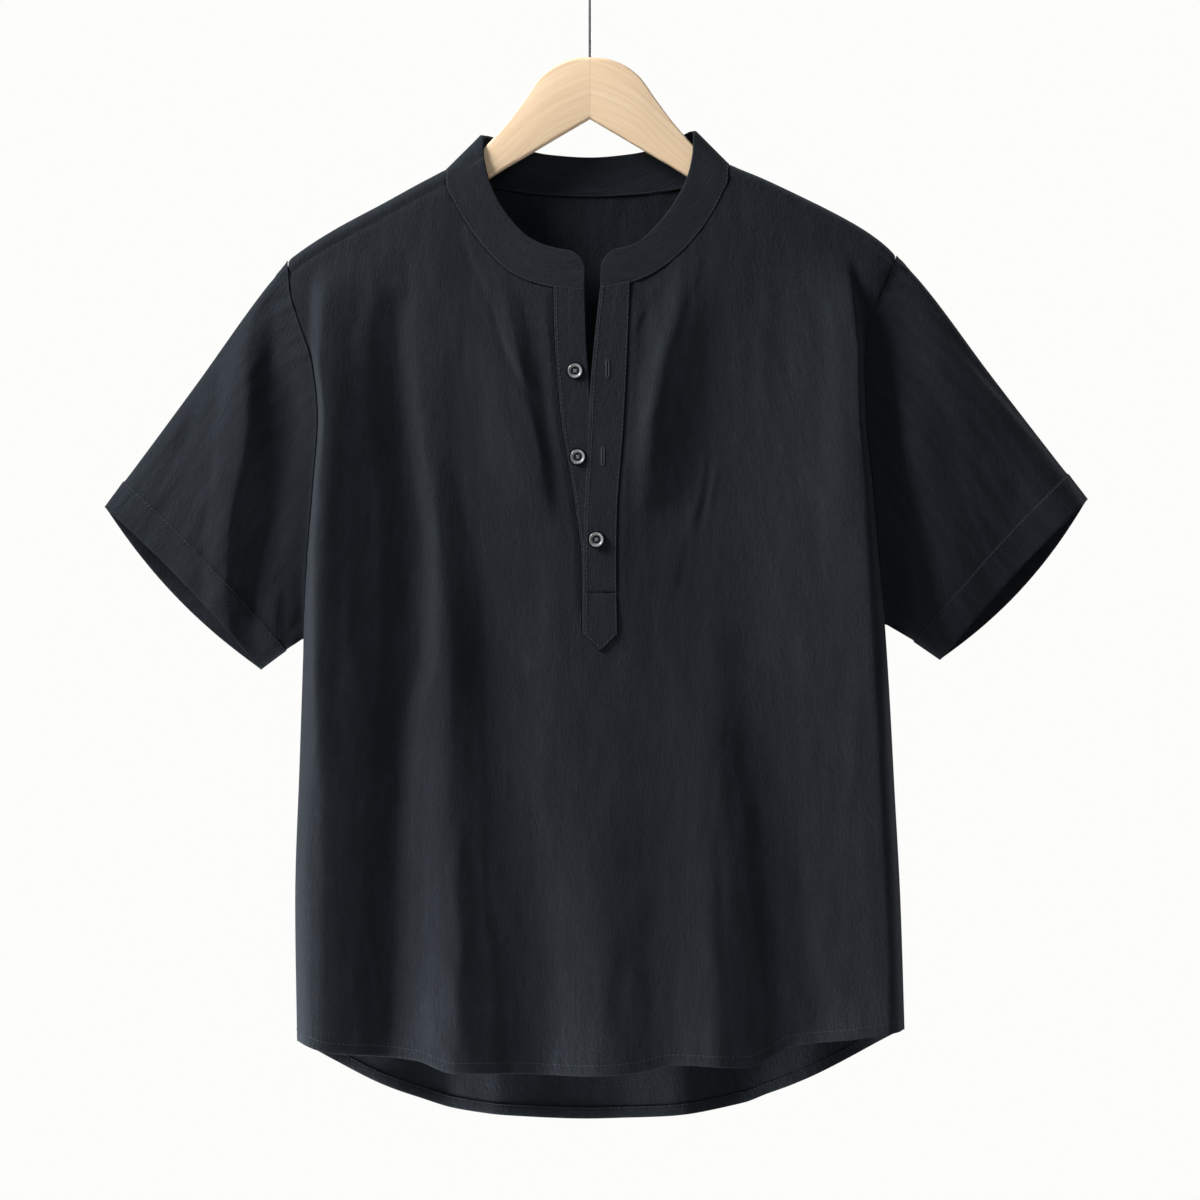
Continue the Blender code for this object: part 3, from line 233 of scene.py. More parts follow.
# %% Small creases: x, drop, end x, end drop, width, rise, and how far it bows sideways
CREASES = {
    "front": [
        (-108, 20, -14, 250, 4, -1.2, -4), (-99, 32, -40, 190, 6, 0.9, -4),
        (-62, 84, -32, 190, 4, 0.5, 2), (-48, 90, -30, 170, 3.5, -0.4, 1),
        (-36, 94, -30, 140, 3, 0.4, 0),
        # pleats right of the placket
        (50, 87, 30, 122, 3.5, 0.9, 3), (31, 112, 28, 165, 3.5, 0.6, 0), (45, 92, 34, 142, 3, -0.9, 2),
        (60, 78, 40, 160, 3.5, -0.7, 3), (74, 62, 28, 240, 5.5, 1.3, 5), (87, 52, 74, 120, 5, -0.8, 1),
        (85, 58, 79, 112, 4, 0.6, 0),
        # a short sharp pinch, and the chest round it
        (94, 212, 82, 276, 3.2, -1.1, 1), (88, 214, 75, 284, 3.6, 0.8, 1),
        (98, 222, 90, 268, 3.2, 0.5, 0), (78, 276, 66, 334, 3.5, -0.5, 0),
        (89, 100, 87, 205, 7, -0.5, 1), (112, 70, 116, 190, 6, 0.4, 2), (131, 60, 130, 250, 6, 0.5, 2),
        (147, 74, 149, 180, 6, -0.6, -2), (163, 80, 166, 230, 6, 0.5, 2),
        (-139, 56, -140, 112, 5, -0.7, 0), (-122, 34, -121, 140, 6, 0.6, 1),
        (-158, 54, -166, 130, 6, 0.5, 1), (-176, 66, -182, 140, 6, -0.6, 1),
        # under the left arm and down the left side
        (-190, 300, -176, 430, 6, 0.6, 3), (-200, 330, -190, 470, 6, -0.6, 3),
        (-172, 190, -168, 330, 8, -0.5, 2), (-121, 200, -118, 372, 6, 0.6, 2),
        (-100, 110, -99, 200, 7, -0.6, 2), (-101, 480, -99, 690, 5, 1, 0),
        (-88, 480, -84, 700, 9, -0.9, 0), (-66, 380, -58, 560, 8, -0.5, 3),
        # down to the hem
        (-36, 420, -34, 560, 9, 0.5, 3), (-18, 520, -16, 700, 9, 0.6, 2), (2, 380, 6, 520, 10, -0.4, 3),
        (20, 540, 26, 700, 8, -0.8, 2), (46, 520, 48, 690, 8, -0.7, -2), (84, 470, 97, 700, 7, 0.8, 2),
        (116, 430, 142, 650, 7, -0.9, 4), (146, 600, 166, 690, 8, 0.9, 3),
        (170, 560, 196, 690, 10, 0.7, 4), (205, 440, 210, 640, 10, 0.5, 3),
        (200, 352, 180, 470, 7, -0.5, -4), (212, 360, 196, 520, 6, 0.4, -4),
    ],
    "back": [
        (-96, 20, -110, 170, 7, 0.7, 3), (-70, 26, -76, 190, 6, -0.6, 3),
        (-40, 30, -44, 150, 6, 0.6, 2), (-8, 32, -6, 210, 8, 0.6, 3), (28, 30, 30, 150, 6, -0.6, 2),
        (60, 26, 68, 200, 7, 0.7, 3), (92, 20, 104, 160, 6, -0.7, 3), (-140, 60, -150, 240, 8, 0.7, 3),
        (-176, 90, -168, 300, 8, -0.7, 4), (146, 60, 152, 260, 8, 0.7, 3),
        (182, 100, 176, 300, 8, -0.7, 4), (-190, 340, -170, 500, 8, 0.7, 4),
        (200, 340, 184, 500, 8, 0.7, -4), (-104, 420, -110, 720, 7, 1, 2),
        (-30, 300, -26, 600, 10, 0.6, 4), (40, 420, 44, 720, 9, -0.7, 3),
        (112, 360, 118, 700, 8, 0.9, 3), (148, 420, 156, 700, 8, -0.7, 3),
        (-206, 520, -200, 650, 9, 0.6, 2), (84, 560, 90, 720, 8, 0.6, 2),
    ],
    ("left", -1): [
        (-243, 95, -256, 190, 5, 1, -3), (-262, 120, -292, 270, 6, 0.9, -3),
        (-276, 120, -320, 236, 7, -1, -3), (-300, 170, -344, 262, 7, 0.8, -2),
        (-217, 280, -258, 334, 4, -1.3, 0), (-226, 284, -262, 340, 5, 1, 0),
        (-234, 318, -240, 360, 4, -1, 0), (-224, 200, -236, 300, 6, 0.7, 2),
        (-222, 130, -226, 190, 4, 0.7, 0), (-232, 120, -236, 170, 4, -0.6, 0),
        (-222, 330, -230, 362, 4, 0.8, 0), (-268, 320, -262, 352, 4, 0.8, 0),
    ],
    ("left", 1): [
        (-250, 120, -286, 300, 7, 0.9, -3), (-280, 150, -330, 280, 7, -0.9, -3),
        (-228, 180, -246, 330, 6, 0.8, 2), (-300, 180, -350, 270, 7, 0.8, -2),
        (-226, 300, -262, 350, 4.5, -1, 0),
    ],
    ("right", -1): [
        (222, 100, 246, 340, 6, -0.9, 3), (240, 100, 268, 330, 7, 0.8, 4),
        (248, 90, 290, 330, 10, -1, 5), (262, 110, 302, 300, 8, 0.6, 4),
        (300, 170, 330, 290, 10, -0.6, 3), (232, 130, 250, 240, 5, 0.6, 2),
        (246, 300, 262, 362, 5, 0.8, 0),
    ],
    ("right", 1): [
        (254, 120, 292, 300, 7, 0.9, 3), (284, 150, 336, 280, 7, -0.9, 3),
        (234, 180, 252, 330, 6, 0.8, 2), (310, 180, 356, 268, 7, 0.8, 2),
        (232, 296, 268, 344, 4.5, -1, 0),
    ],
}
print("creases placed by hand:", sum(len(rows) for rows in CREASES.values()))

# %% [markdown]
# ## The broad drapes
# The side that hangs on view drapes over the arms in broad ridges and hollows, steep on one flank and
# long on the other. They carry the light and shade that the eye reads first, so each has a table of
# its own: how its crest wanders, how far its flanks reach and how high it stands on the way down.

# %% Broad ridges and hollows: drop, x of the crest, reach to the left and the right, rise
SWELLS = {"front": {
    "ridge beside the left armhole": [
        (60, -200, 9, 40, 0), (95, -203, 9, 52, 9), (150, -206, 9, 60, 16), (220, -208, 9, 66, 20),
        (300, -209, 9, 72, 20), (360, -209, 10, 72, 18), (430, -206, 13, 60, 15), (500, -203, 18, 52, 12),
        (560, -203, 20, 50, 11), (620, -203, 20, 48, 10), (690, -204, 20, 44, 7)],
    "foot of the left hollow": [
        (90, -146, 24, 14, 0), (114, -146, 24, 14, -4), (167, -144, 24, 14, -5), (220, -138, 26, 14, -6),
        (290, -129, 30, 14, -8), (360, -129, 30, 14, -8), (430, -142, 26, 14, -6), (500, -147, 24, 14, -5),
        (560, -148, 24, 14, -5), (620, -150, 24, 16, -5), (700, -154, 24, 18, -3)],
    "ridge beside the right armhole": [
        (60, 194, 60, 6, 0), (100, 200, 75, 5, 8), (150, 205, 85, 5, 13), (220, 211, 95, 5, 17),
        (300, 218, 100, 5, 18), (360, 225, 100, 5, 16), (430, 227, 90, 6, 12), (500, 230, 80, 6, 9),
        (560, 233, 75, 6, 8), (620, 235, 70, 6, 8), (690, 237, 65, 6, 5)],
    "lip of the right armhole": [
        (80, 198, 26, 5, 0), (114, 204, 26, 5, 6), (167, 207, 28, 5, 7), (220, 211, 34, 5, 7),
        (300, 218, 40, 5, 6), (360, 225, 46, 5, 5), (430, 227, 44, 6, 4), (560, 233, 40, 6, 3),
        (690, 237, 40, 6, 2)],
    "shallow hollow of the right chest": [
        (140, 96, 50, 80, 0), (220, 90, 50, 84, -3), (290, 84, 50, 90, -5), (360, 84, 50, 90, -5),
        (430, 90, 50, 80, 0)],
    "long left fold, wide on its right": [
        (300, -112, 25, 14, 0), (360, -112, 28, 22, 2), (500, -108, 28, 38, 2), (620, -101, 30, 56, 3),
        (700, -100, 30, 60, 4)],
    "bank right of the long left fold": [
        (380, -84, 18, 30, 0), (430, -84, 18, 34, 3), (500, -82, 20, 40, 5), (560, -80, 22, 46, 6),
        (620, -74, 26, 46, 7), (700, -70, 28, 42, 8)],
    "hollow right of the long left fold": [
        (460, -46, 20, 30, 0), (500, -44, 24, 34, -2), (560, -40, 28, 50, -4), (620, -34, 38, 60, -6),
        (700, -30, 40, 60, -7)],
    "fold below the placket": [
        (360, 0, 60, 60, 0), (430, 4, 70, 66, 2), (500, 6, 80, 74, 6), (560, 8, 80, 76, 9),
        (620, 8, 80, 76, 11), (700, 12, 80, 72, 10)],
    "bank left of the right hollow": [
        (440, 112, 22, 30, 0), (500, 118, 22, 34, 4), (560, 124, 24, 38, 6), (620, 130, 26, 40, 7),
        (700, 136, 28, 40, 8)],
    "hollow left of the placket": [
        (60, -112, 24, 40, 0), (114, -110, 24, 50, -1), (167, -106, 24, 60, -3), (220, -104, 24, 66, -5),
        (290, -88, 28, 60, -7), (360, -79, 26, 56, -7), (430, -76, 28, 56, -4), (520, -70, 30, 50, 0)],
    "left drag fold": [
        (70, -74, 20, 10, 0), (114, -61, 30, 12, 5), (167, -50, 34, 13, 8), (220, -38, 40, 11, 8),
        (275, -28, 30, 10, 0)],
    "right drag fold": [
        (66, 76, 12, 24, 0), (114, 60, 14, 50, 2), (167, 49, 15, 56, 4), (200, 42, 16, 50, 5),
        (235, 35, 16, 40, 4), (265, 30, 14, 24, 0)],
}, "left": {
    "narrow top of the trough": [
        (96, -242, 5, 5, 0), (120, -244, 6, 6, -2), (150, -251, 8, 7, -3), (190, -256, 10, 8, -2),
        (240, -258, 10, 8, 0)],
    "long ridge": [
        (66, -245, 12, 14, 0), (88, -250, 14, 16, 5), (110, -257, 17, 20, 9), (150, -263, 20, 23, 12),
        (180, -265, 20, 24, 13), (210, -266, 20, 24, 13), (240, -269, 20, 25, 13), (270, -273, 20, 24, 12),
        (300, -275, 20, 22, 11), (330, -276, 20, 20, 9), (356, -274, 18, 18, 6)],
}, "right": {
    "long ridge": [
        (70, 218, 12, 40, 0), (100, 226, 16, 50, 5), (150, 240, 18, 60, 9), (200, 254, 18, 75, 11),
        (240, 252, 17, 80, 12), (280, 250, 16, 80, 13), (320, 249, 15, 80, 13), (356, 250, 14, 80, 11)],
    "rim along the upper fold": [
        (90, 242, 14, 6, 0), (120, 266, 22, 6, 3), (150, 289, 32, 6, 6), (180, 315, 48, 6, 9),
        (210, 341, 64, 6, 11), (240, 365, 85, 7, 13), (270, 380, 100, 8, 14), (300, 390, 110, 8, 14),
        (350, 394, 115, 8, 13)],
}}

# %% How high they stand at a place
FOLD_END = 0.15           # part of a fold's length over which it dies out
CREST_ROUND = 0.01        # how round a broad ridge is at its crest and its foot


def folded(where, x, drop):
    """Sum the large folds at a place."""
    total = np.zeros(np.broadcast(x, drop).shape)
    for start_x, start, end_x, end, left, right, rise, end_rise in FOLDS[where]:
        part = (drop - start) / (end - start)
        centre = start_x + (end_x - start_x) * part
        width = np.where(x < centre, left, right)
        fade = ease((part + FOLD_END) / FOLD_END / 2) * ease((1.0 + FOLD_END - part) / FOLD_END / 2)
        total += (rise + (end_rise - rise) * np.clip(part, 0.0, 1.0)) * fade * hump((x - centre) / width)
    return total


def creased(where, x, drop):
    """Sum the small creases: each bows, wanders a little and dies out at both ends."""
    total = np.zeros(np.broadcast(x, drop).shape)
    for number, (start_x, start, end_x, end, width, rise, bow) in enumerate(CREASES[where]):
        part = (drop - start) / (end - start)
        wander = 0.35 * width * np.sin(drop / 13.0 + 2.1 * number)
        centre = start_x + (end_x - start_x) * part + bow * 4.0 * part * (1.0 - part) + wander
        uneven = 1.0 + 0.3 * np.sin(drop / 17.0 + 1.3 * number)
        total += rise * uneven * ease(part / 0.3) * ease((1.0 - part) / 0.35) * hump((x - centre) / width)
    return total


def swelled(where, x, drop):
    """Sum the broad forms: straight flanks of uneven width on both sides of a rounded crest."""
    total = np.zeros(np.broadcast(x, drop).shape)
    for rows in SWELLS[where].values():
        drops, *columns = np.transpose(rows)
        crest, left, right, rise = (curve(drops, column, drop) for column in columns)
        flank = 1.0 - np.sqrt(((x - crest) / np.where(x < crest, left, right)) ** 2 + CREST_ROUND)
        total += rise * (flank + np.sqrt(flank ** 2 + CREST_ROUND)) / 2
    return total

# %% [markdown]
# ## The surface of the hanging body
# The cloth leaves the hanger's arm, swings out over its fullness and comes back to the side seams.
# The front and the back are each one height above the flat middle plane, so x and drop alone say where
# every point lies.

# %% The form of the body
FULLNESS = {"front": 26.0, "back": 21.0}
FULLNESS_LENGTH = 170.0
UNDERARM_BLEND = 65.0
ARMHOLE_ROUND = 30.0      # how far in the cloth turns back to the armhole; SIDE_ROUND at the sides
FRONT_ARMHOLE_TURN, FRONT_SIDE_TURN = 12.0, 14.0    # the front turns back more sharply
FREE_FROM_EDGE, FREE_FROM_RIDGE = 22.0, 50.0        # where folds are at their full height
OVERLAP_LEAN = 4.5        # the cloth leans up against the overlap this far from it
GROOVE_WIDTH = 1.4        # groove at the underlap's seam
PLACKET_STIFFNESS, PLACKET_HALF, PLACKET_BLEND, PLACKET_FADE = 0.9, 24.0, 20.0, 60.0
RUMPLES = ((0.4, 23.0, 90.0, 3), (0.16, 9.0, 34.0, 5), (0.07, 4.5, 14.0, 7))  # height, width, length, seed
LEAN_HEIGHT, GROOVE_DEPTH = 0.8, 1.5
SEAMS_HEAD, SEAMS_FOOT, SEAMS_FADE = 84.0, 330.0, 20.0    # where the lean and the groove lie


def ridge(x):
    """Drop of the shoulder's ridge at x."""
    x = np.asarray(x, float)
    return np.where(x < 0, smooth(SHOULDERS, "out", "left", -x), smooth(SHOULDERS, "out", "right", x))


def edge_x(side, drop):
    """Place of the body's edge at a drop."""
    return smooth(EDGES[side], "drop", "x", drop)


def from_edge(x, drop):
    """How far in from the nearer edge a place lies."""
    return np.minimum(x - edge_x("left", drop), edge_x("right", drop) - x)


def on_placket(x, drop):
    """1 on the stiff placket, fading to 0 beside and below it."""
    middle = (SLIT_RIGHT + STRIPS["under_left"][-1]) / 2
    aside = ease((np.abs(x - middle) - PLACKET_HALF) / PLACKET_BLEND)
    return (1.0 - aside) * (1.0 - ease((drop - TIP_DROP) / PLACKET_FADE))


def stand_out(face, x, drop, fine=True):
    """How far the body stands out from the middle plane, on the front (-1) or the back (1)."""
    front = face < 0
    where = "front" if front else "back"
    hang = np.maximum(drop - ridge(x), 0.0) - ROLL_DROP
    full = SHOULDER_ROLL + FULLNESS[where] * (1.0 - np.exp(-np.maximum(hang, 0.0) / FULLNESS_LENGTH))
    left, right = (smooth(EDGES[side], "drop", where, drop) for side in SIGN)
    edge = np.where(x < 0, left, right)
    gap = np.maximum(from_edge(x, drop), 0.0)
    below = ease(1.0 + (drop - np.where(x < 0, UNDERARMS["left"], UNDERARMS["right"])) / UNDERARM_BLEND)
    turns = (FRONT_ARMHOLE_TURN, FRONT_SIDE_TURN) if front and fine else (ARMHOLE_ROUND, SIDE_ROUND)
    t = np.clip(gap / (turns[0] + (turns[1] - turns[0]) * below), 0.0, 1.0)
    rounded = (1.0 - (1.0 - t) ** 2) ** (1.0 - 0.5 * below)
    free = ease(gap / FREE_FROM_EDGE) * ease(hang / FREE_FROM_RIDGE)
    loose = 1.0 - PLACKET_STIFFNESS * on_placket(x, drop) if front else 1.0
    out = edge + (full - edge) * rounded + folded(where, x, drop) * free * loose
    if not fine:
        return out
    small = creased(where, x, drop)
    for height, width, length, seed in RUMPLES:
        small = small + height * rumple(x / width + 20, drop / length, seed)
    if front:
        out = out + swelled("front", x, drop) * ease(gap / 6.0) * ease(hang / 40.0) * loose
        level = ease((drop - SEAMS_HEAD) / SEAMS_FADE) * (1.0 - ease((drop - SEAMS_FOOT) / SEAMS_FADE))
        beside = (x - smooth(STRIPS, "drop", "over_right", drop)) / OVERLAP_LEAN - 1.0
        groove = (x - smooth(STRIPS, "drop", "under_left", drop)) / GROOVE_WIDTH + 0.6
        out = out + level * (LEAN_HEIGHT * hump(beside) - GROOVE_DEPTH * hump(groove))
    return out + small * ease(gap / 9.0) * ease(hang / 9.0) * (0.15 + 0.85 * loose)


def hung(face, x, drop, fine=True):
    """Points of the hanging front or back at x and drop."""
    x, drop = np.asarray(x, float), np.asarray(drop, float)
    return np.stack([x, face * np.maximum(stand_out(face, x, drop, fine), 0.2), drop], -1)


def roll(x, angle):
    """Points of the roll over the shoulder: 0 at the back, 90 on the ridge, 180 at the front."""
    turn = np.radians(angle)
    drop = ridge(x) + ROLL_DROP * (1.0 - np.sin(turn))
    return np.stack([x, np.broadcast_to(SHOULDER_ROLL * np.cos(turn), np.shape(x)), drop], -1)

# %% [markdown]
# ## A sheet of cloth
# Each piece is rows of points joined into one sheet with no thickness, and its free edges are turned
# in, as a hem is, so they look thick. Its UVs are in metres along the threads, so the weave has the
# same size on every piece.

# %% From points to pieces
def placed(points):
    """Metres in the scene from x, y and drop in millimetres."""
    points = np.asarray(points, float)
    return np.stack([points[..., 0], points[..., 1], -(NECK_BELOW_HOOK + points[..., 2])], -1) * MM


def added(name, data, *materials):
    """Put data into the scene as a piece with its materials."""
    for material in materials:
        data.materials.append(material)
    piece = bpy.data.objects.new(name, data)
    bpy.context.scene.collection.objects.link(piece)
    return piece


def meshed(name, points, quads, *materials):
    """A smooth piece of points in millimetres."""
    mesh = bpy.data.meshes.new(name)
    mesh.from_pydata(placed(points).tolist(), [], quads.tolist())
    mesh.shade_smooth()
    print(f"{name}: {2 * len(quads)} triangles")
    return added(name, mesh, *materials)


def sheet_of(name, rows, threads, material, keep=None, ring=False, flip=False):
    """Join rows of points into a sheet. threads are its UVs, with one more column on a ring."""
    tall, wide = rows.shape[:2]
    j, i = np.meshgrid(np.arange(tall - 1), np.arange(wide if ring else wide - 1), indexing="ij")
    if keep is not None:
        wanted = keep(j, i)
        j, i = j[wanted], i[wanted]
    j, i = j.ravel(), i.ravel()
    n = (i + 1) % wide
    quads = np.stack([j * wide + i, (j + 1) * wide + i, (j + 1) * wide + n, j * wide + n], -1)
    uvs = np.stack([threads[j, i], threads[j + 1, i], threads[j + 1, i + 1], threads[j, i + 1]], -2)
    if flip:
        quads, uvs = quads[:, ::-1], uvs[:, ::-1]
    used, renumbered = np.unique(quads, return_inverse=True)
    piece = meshed(name, rows.reshape(-1, 3)[used], renumbered.reshape(-1, 4), material)
    layer = piece.data.uv_layers.new(name="threads")
    layer.data.foreach_set("uv", np.ascontiguousarray(uvs, np.float32).ravel())
    return piece


def facing(rows, ring=False):
    """Unit normals of a grid that point out of its front."""
    if ring:
        padded = np.concatenate([rows[:, -1:], rows, rows[:, :1]], axis=1)
        across = padded[:, 2:] - padded[:, :-2]
    else:
        across = np.gradient(rows, axis=1)
    return unit(np.cross(across, np.gradient(rows, axis=0)))


def upright(across, down, top_of, foot_of, left_of, right_of):
    """Fill four lines with upright columns. across and down are parts (0 to 1) of the way."""
    u, v = across[None, :], down[:, None]
    drop = np.broadcast_to(80.0 + 600.0 * v, (len(down), len(across)))
    for settle in range(12):
        x = left_of(drop) + (right_of(drop) - left_of(drop)) * u
        drop = top_of(x) + (foot_of(x) - top_of(x)) * v
    return np.stack([x, drop], -1)

# %% Turning hems
HEM_THICKNESS = 0.9
HEM_STEP = 2.2            # from one row of the turned-in cloth to the next


def measured(rows, axis):
    """Distance of every point from the first one of its column (axis 0) or its row (axis 1)."""
    steps = np.cumsum(np.linalg.norm(np.diff(rows, axis=axis), axis=-1), axis=axis)
    return np.concatenate([np.zeros_like(np.take(steps, [0], axis)), steps], axis=axis)


def above_foot(rows, values, depth):
    """Values on the line that lies a depth above a grid's last row, measured along each column."""
    reach = measured(rows[::-1], 0)
    k = np.clip((reach < depth).sum(axis=0) - 1, 0, len(rows) - 2)
    i = np.arange(rows.shape[1])
    step = np.maximum(reach[k + 1, i] - reach[k, i], 1e-9)
    part = np.clip((depth - reach[k, i]) / step, 0.0, 1.0)[:, None]
    return values[-1 - k, i] * (1.0 - part) + values[-2 - k, i] * part


def turned(rows, normals, depth):
    """Rows that carry the cloth round its lowest edge and up again on the inside, to a depth."""
    down = unit(rows[-1] - rows[-2])
    fold = [rows[-1] - normals[-1] * HEM_THICKNESS * part + down * 0.35 * lift
            for part, lift in ((0.15, 0.7), (0.5, 1.0), (0.85, 0.7))]
    inner = []
    for reach in np.linspace(0.0, depth, int(depth / HEM_STEP) + 1):
        sink = HEM_THICKNESS if reach < depth else 0.2
        inner.append(above_foot(rows, rows, reach) - above_foot(rows, normals, reach) * sink)
    return np.concatenate([rows, fold, inner])


def threads_of(rows, middle):
    """UVs in metres: how far across from the middle column, and how far down."""
    across = measured(rows, 1)
    return np.stack([across - across[:, middle:middle + 1], -measured(rows, 0)], -1) * MM

# %% Sewn lines: how cloth sinks and gathers beside them
SEAM_DIP = 0.6            # how far cloth sinks at a seam
SEAM_WIDTH = 1.4
LINE_STEP = 0.5
SIDE_CALM = 12.0          # no gathers this near to a side seam


def sewn(rows, normals, line, dip=SEAM_DIP, pucker=0.0, at=4.0, seed=11, pitch=5.0, reach=5.0):
    """Sink a piece beside a sewn line, with tiny gathers a little way in from it."""
    line = np.asarray(line, float)
    s = lengths(line)
    dense = on_line(s, line, np.linspace(0.0, 1.0, int(s[-1] / LINE_STEP) + 2) * s[-1])
    tree = KDTree(len(dense))
    for number, point in enumerate(dense):
        tree.insert(point, number)
    tree.balance()
    number, distance = np.array([tree.find(point)[1:] for point in rows.reshape(-1, 3)]).T
    distance = distance.reshape(rows.shape[:2])
    place = lengths(dense)[number.astype(int)].reshape(rows.shape[:2])
    gathers = rumple(place / pitch + 20, np.full(place.shape, 0.5), seed) * hump((distance - at) / reach)
    return rows - normals * (dip * hump(distance / SEAM_WIDTH) - pucker * gathers)[..., None]


def off_the_sides(rows):
    """0 at the body's side seams, where front and back stay joined, and 1 from a little way in."""
    return ease(from_edge(rows[..., 0], rows[..., 2]) / SIDE_CALM)

# %% [markdown]
# ## The neck seam
# One line runs round the neck: along the front, over each shoulder, and across the back. The band,
# the front and the back all read their edge from it, so no gap can open between them.

# %% The line of the neck seam and the band's free edge
Station = namedtuple("Station", "kind seam top")
ROLL_ANGLES = (None,) + tuple(range(180, 0, -10))      # None stands for the front's shoulder seam


def between(ridge_value, front_value, fall_value, angle):
    """Carry a value over the shoulder: the front seam (None), the ridge (90), the back's fall (0)."""
    turn = math.cos(math.radians(180.0 if angle is None else angle))
    return ridge_value + ((fall_value if turn > 0 else front_value) - ridge_value) * abs(turn)


def shoulder_point(x, angle):
    """Points of the back where it runs over the shoulder, down to the front seam (None)."""
    return hung(-1, x, ridge(x) + SHOULDER_SEAM_DROP) if angle is None else roll(x, angle)


def over_shoulder(crown, before, after):
    """The band's stations from one side of the shoulder to the other, in the ring's order."""
    front, fall = (before, after) if before.kind == "shoulder" else (after, before)
    stations = []
    for angle in ROLL_ANGLES:
        seam = shoulder_point(between(crown.seam_x, front.seam_x, fall.seam_x, angle), angle)
        turn = math.radians(180.0 if angle is None else angle)
        lower = fall if math.cos(turn) > 0 else front
        top_drop = crown.top_drop + (lower.top_drop - crown.top_drop) * (1.0 - math.sin(turn))
        top_x = between(crown.top_x, front.top_x, fall.top_x, angle)
        kind = "junction" if angle is None else "roll"
        stations.append(Station(kind, seam, (top_x, seam[1], top_drop)))
    return stations if before.kind == "shoulder" else stations[::-1]


def neck_stations():
    """Every station of the band, from the underlap's end round the back to the overlap's end."""
    stations = []
    for at, row in enumerate(NECKLINE):
        if row.kind == "ridge":
            stations += over_shoulder(row, NECKLINE[at - 1], NECKLINE[at + 1])
        elif row.kind == "fall":
            seam = roll(row.seam_x, 0)
            stations.append(Station("fall", seam, (row.top_x, seam[1], row.top_drop)))
        elif row.kind != "shoulder":
            face = 1 if row.kind == "back" else -1
            seam = hung(face, row.seam_x, row.seam_drop, fine=False)
            stations.append(Station(row.kind, seam, (row.top_x, seam[1] - face * row.lean, row.top_drop)))
    return stations


neck = neck_stations()
neck_seams = np.array([station.seam for station in neck])
neck_tops = np.array([station.top for station in neck])
neck_at = lengths(neck_seams)
marks = {(station.kind, "left" if station.seam[0] < 0 else "right"): at
         for station, at in zip(neck, neck_at)}
print("neck seam: %.0f mm round" % neck_at[-1])


def neck_seam(start, end, count):
    """Points of the neck seam between two places along it."""
    return on_line(neck_at, neck_seams, np.linspace(start, end, count))

# %% [markdown]
# ## The front
# On the real shirt the front is cut whole and slit down from the neck for the placket. Each half is
# filled between four lines: its shoulder and neck seam, its side, its hem and the slit. That keeps the
# grid's lines on the seams, so a seam never looks jagged.

# %% Lines of the body
SIDE_COLUMNS = 24
UPPER_STEPS, LOWER_STEPS = 132, 150
SIDE_OFFSETS = SIDE_ROUND * (1.0 - np.cos(np.radians(np.linspace(0.0, 90.0, SIDE_COLUMNS))))


def outer_x(side, below_ridge):
    """Place of the body's edge at a drop below the shoulder's own ridge there."""
    x = TIPS[side]
    for settle in range(8):
        x = float(edge_x(side, float(ridge(x)) + below_ridge))
    return x


def shoulder_x(side, neck_x, below_ridge, count):
    """Places of the columns along a shoulder, from its outer edge to the neck."""
    near = outer_x(side, below_ridge) - SIGN[side] * SIDE_OFFSETS
    return np.concatenate([near, np.linspace(near[-1], neck_x, count + 1)[1:]])


def down_parts(middle):
    """Parts of the way down a grid's rows, with one row just at the middle part."""
    upper = np.linspace(0.0, middle, UPPER_STEPS + 1)
    return np.concatenate([upper, np.linspace(middle, 1.0, LOWER_STEPS + 1)[1:]])


def armhole_point(side, angle):
    """A point of the body's edge where it runs over the shoulder's tip."""
    return roll(outer_x(side, ROLL_DROP * (1.0 - math.sin(math.radians(angle)))), angle)


def hem(which):
    """The body's hem, as a drop for each x."""
    return lambda x: smooth(HEMS, "x", which, x)

# %% One half of the front, flat
SHOULDER_COLUMNS, NECK_COLUMNS, SLIT_COLUMNS = 38, 58, 10


def slit_x(side, drop):
    """Edge of the slit at a drop."""
    if side == "left":
        return smooth(STRIPS, "drop", "under_left", drop)
    return np.full(np.shape(drop), SLIT_RIGHT)


def front_half(side):
    """One half of the front in x and drop, from the side edge to the slit."""
    ends = marks["junction", side], marks["slit", side]
    neck_part = neck_seam(*ends, NECK_COLUMNS + 1)[:, [0, 2]]
    x = shoulder_x(side, neck_part[0, 0], SHOULDER_SEAM_DROP, SHOULDER_COLUMNS)
    fine = np.sort(np.concatenate([x, np.linspace(x[-2], x[-1], 40)]))
    seam = np.stack([fine, ridge(fine) + SHOULDER_SEAM_DROP], -1)
    line = np.concatenate([seam, neck_seam(*ends, 600)[1:, [0, 2]]])
    line = line[np.argsort(line[:, 0], kind="stable")]
    inner = float(slit_x(side, SLIT_HEAD))
    columns = np.concatenate([x[:-1], neck_part[:, 0]])
    foot = hem("front")(slit_x(side, SLIT_FOOT))
    return upright((columns - columns[0]) / (inner - columns[0]),
                   down_parts(float((SLIT_FOOT - SLIT_HEAD) / (foot - SLIT_HEAD))),
                   lambda x: np.interp(x, line[:, 0], line[:, 1]), hem("front"),
                   lambda drop: edge_x(side, drop), lambda drop: slit_x(side, drop))


left_half = front_half("left")
right_half = front_half("right")[:, ::-1]
steps = np.linspace(0.0, 1.0, SLIT_COLUMNS + 1)[1:-1, None]
slit_fill = left_half[:, -1:] * (1 - steps) + right_half[:, :1] * steps
flat = np.concatenate([left_half, slit_fill, right_half], axis=1)
print("front grid:", flat.shape)

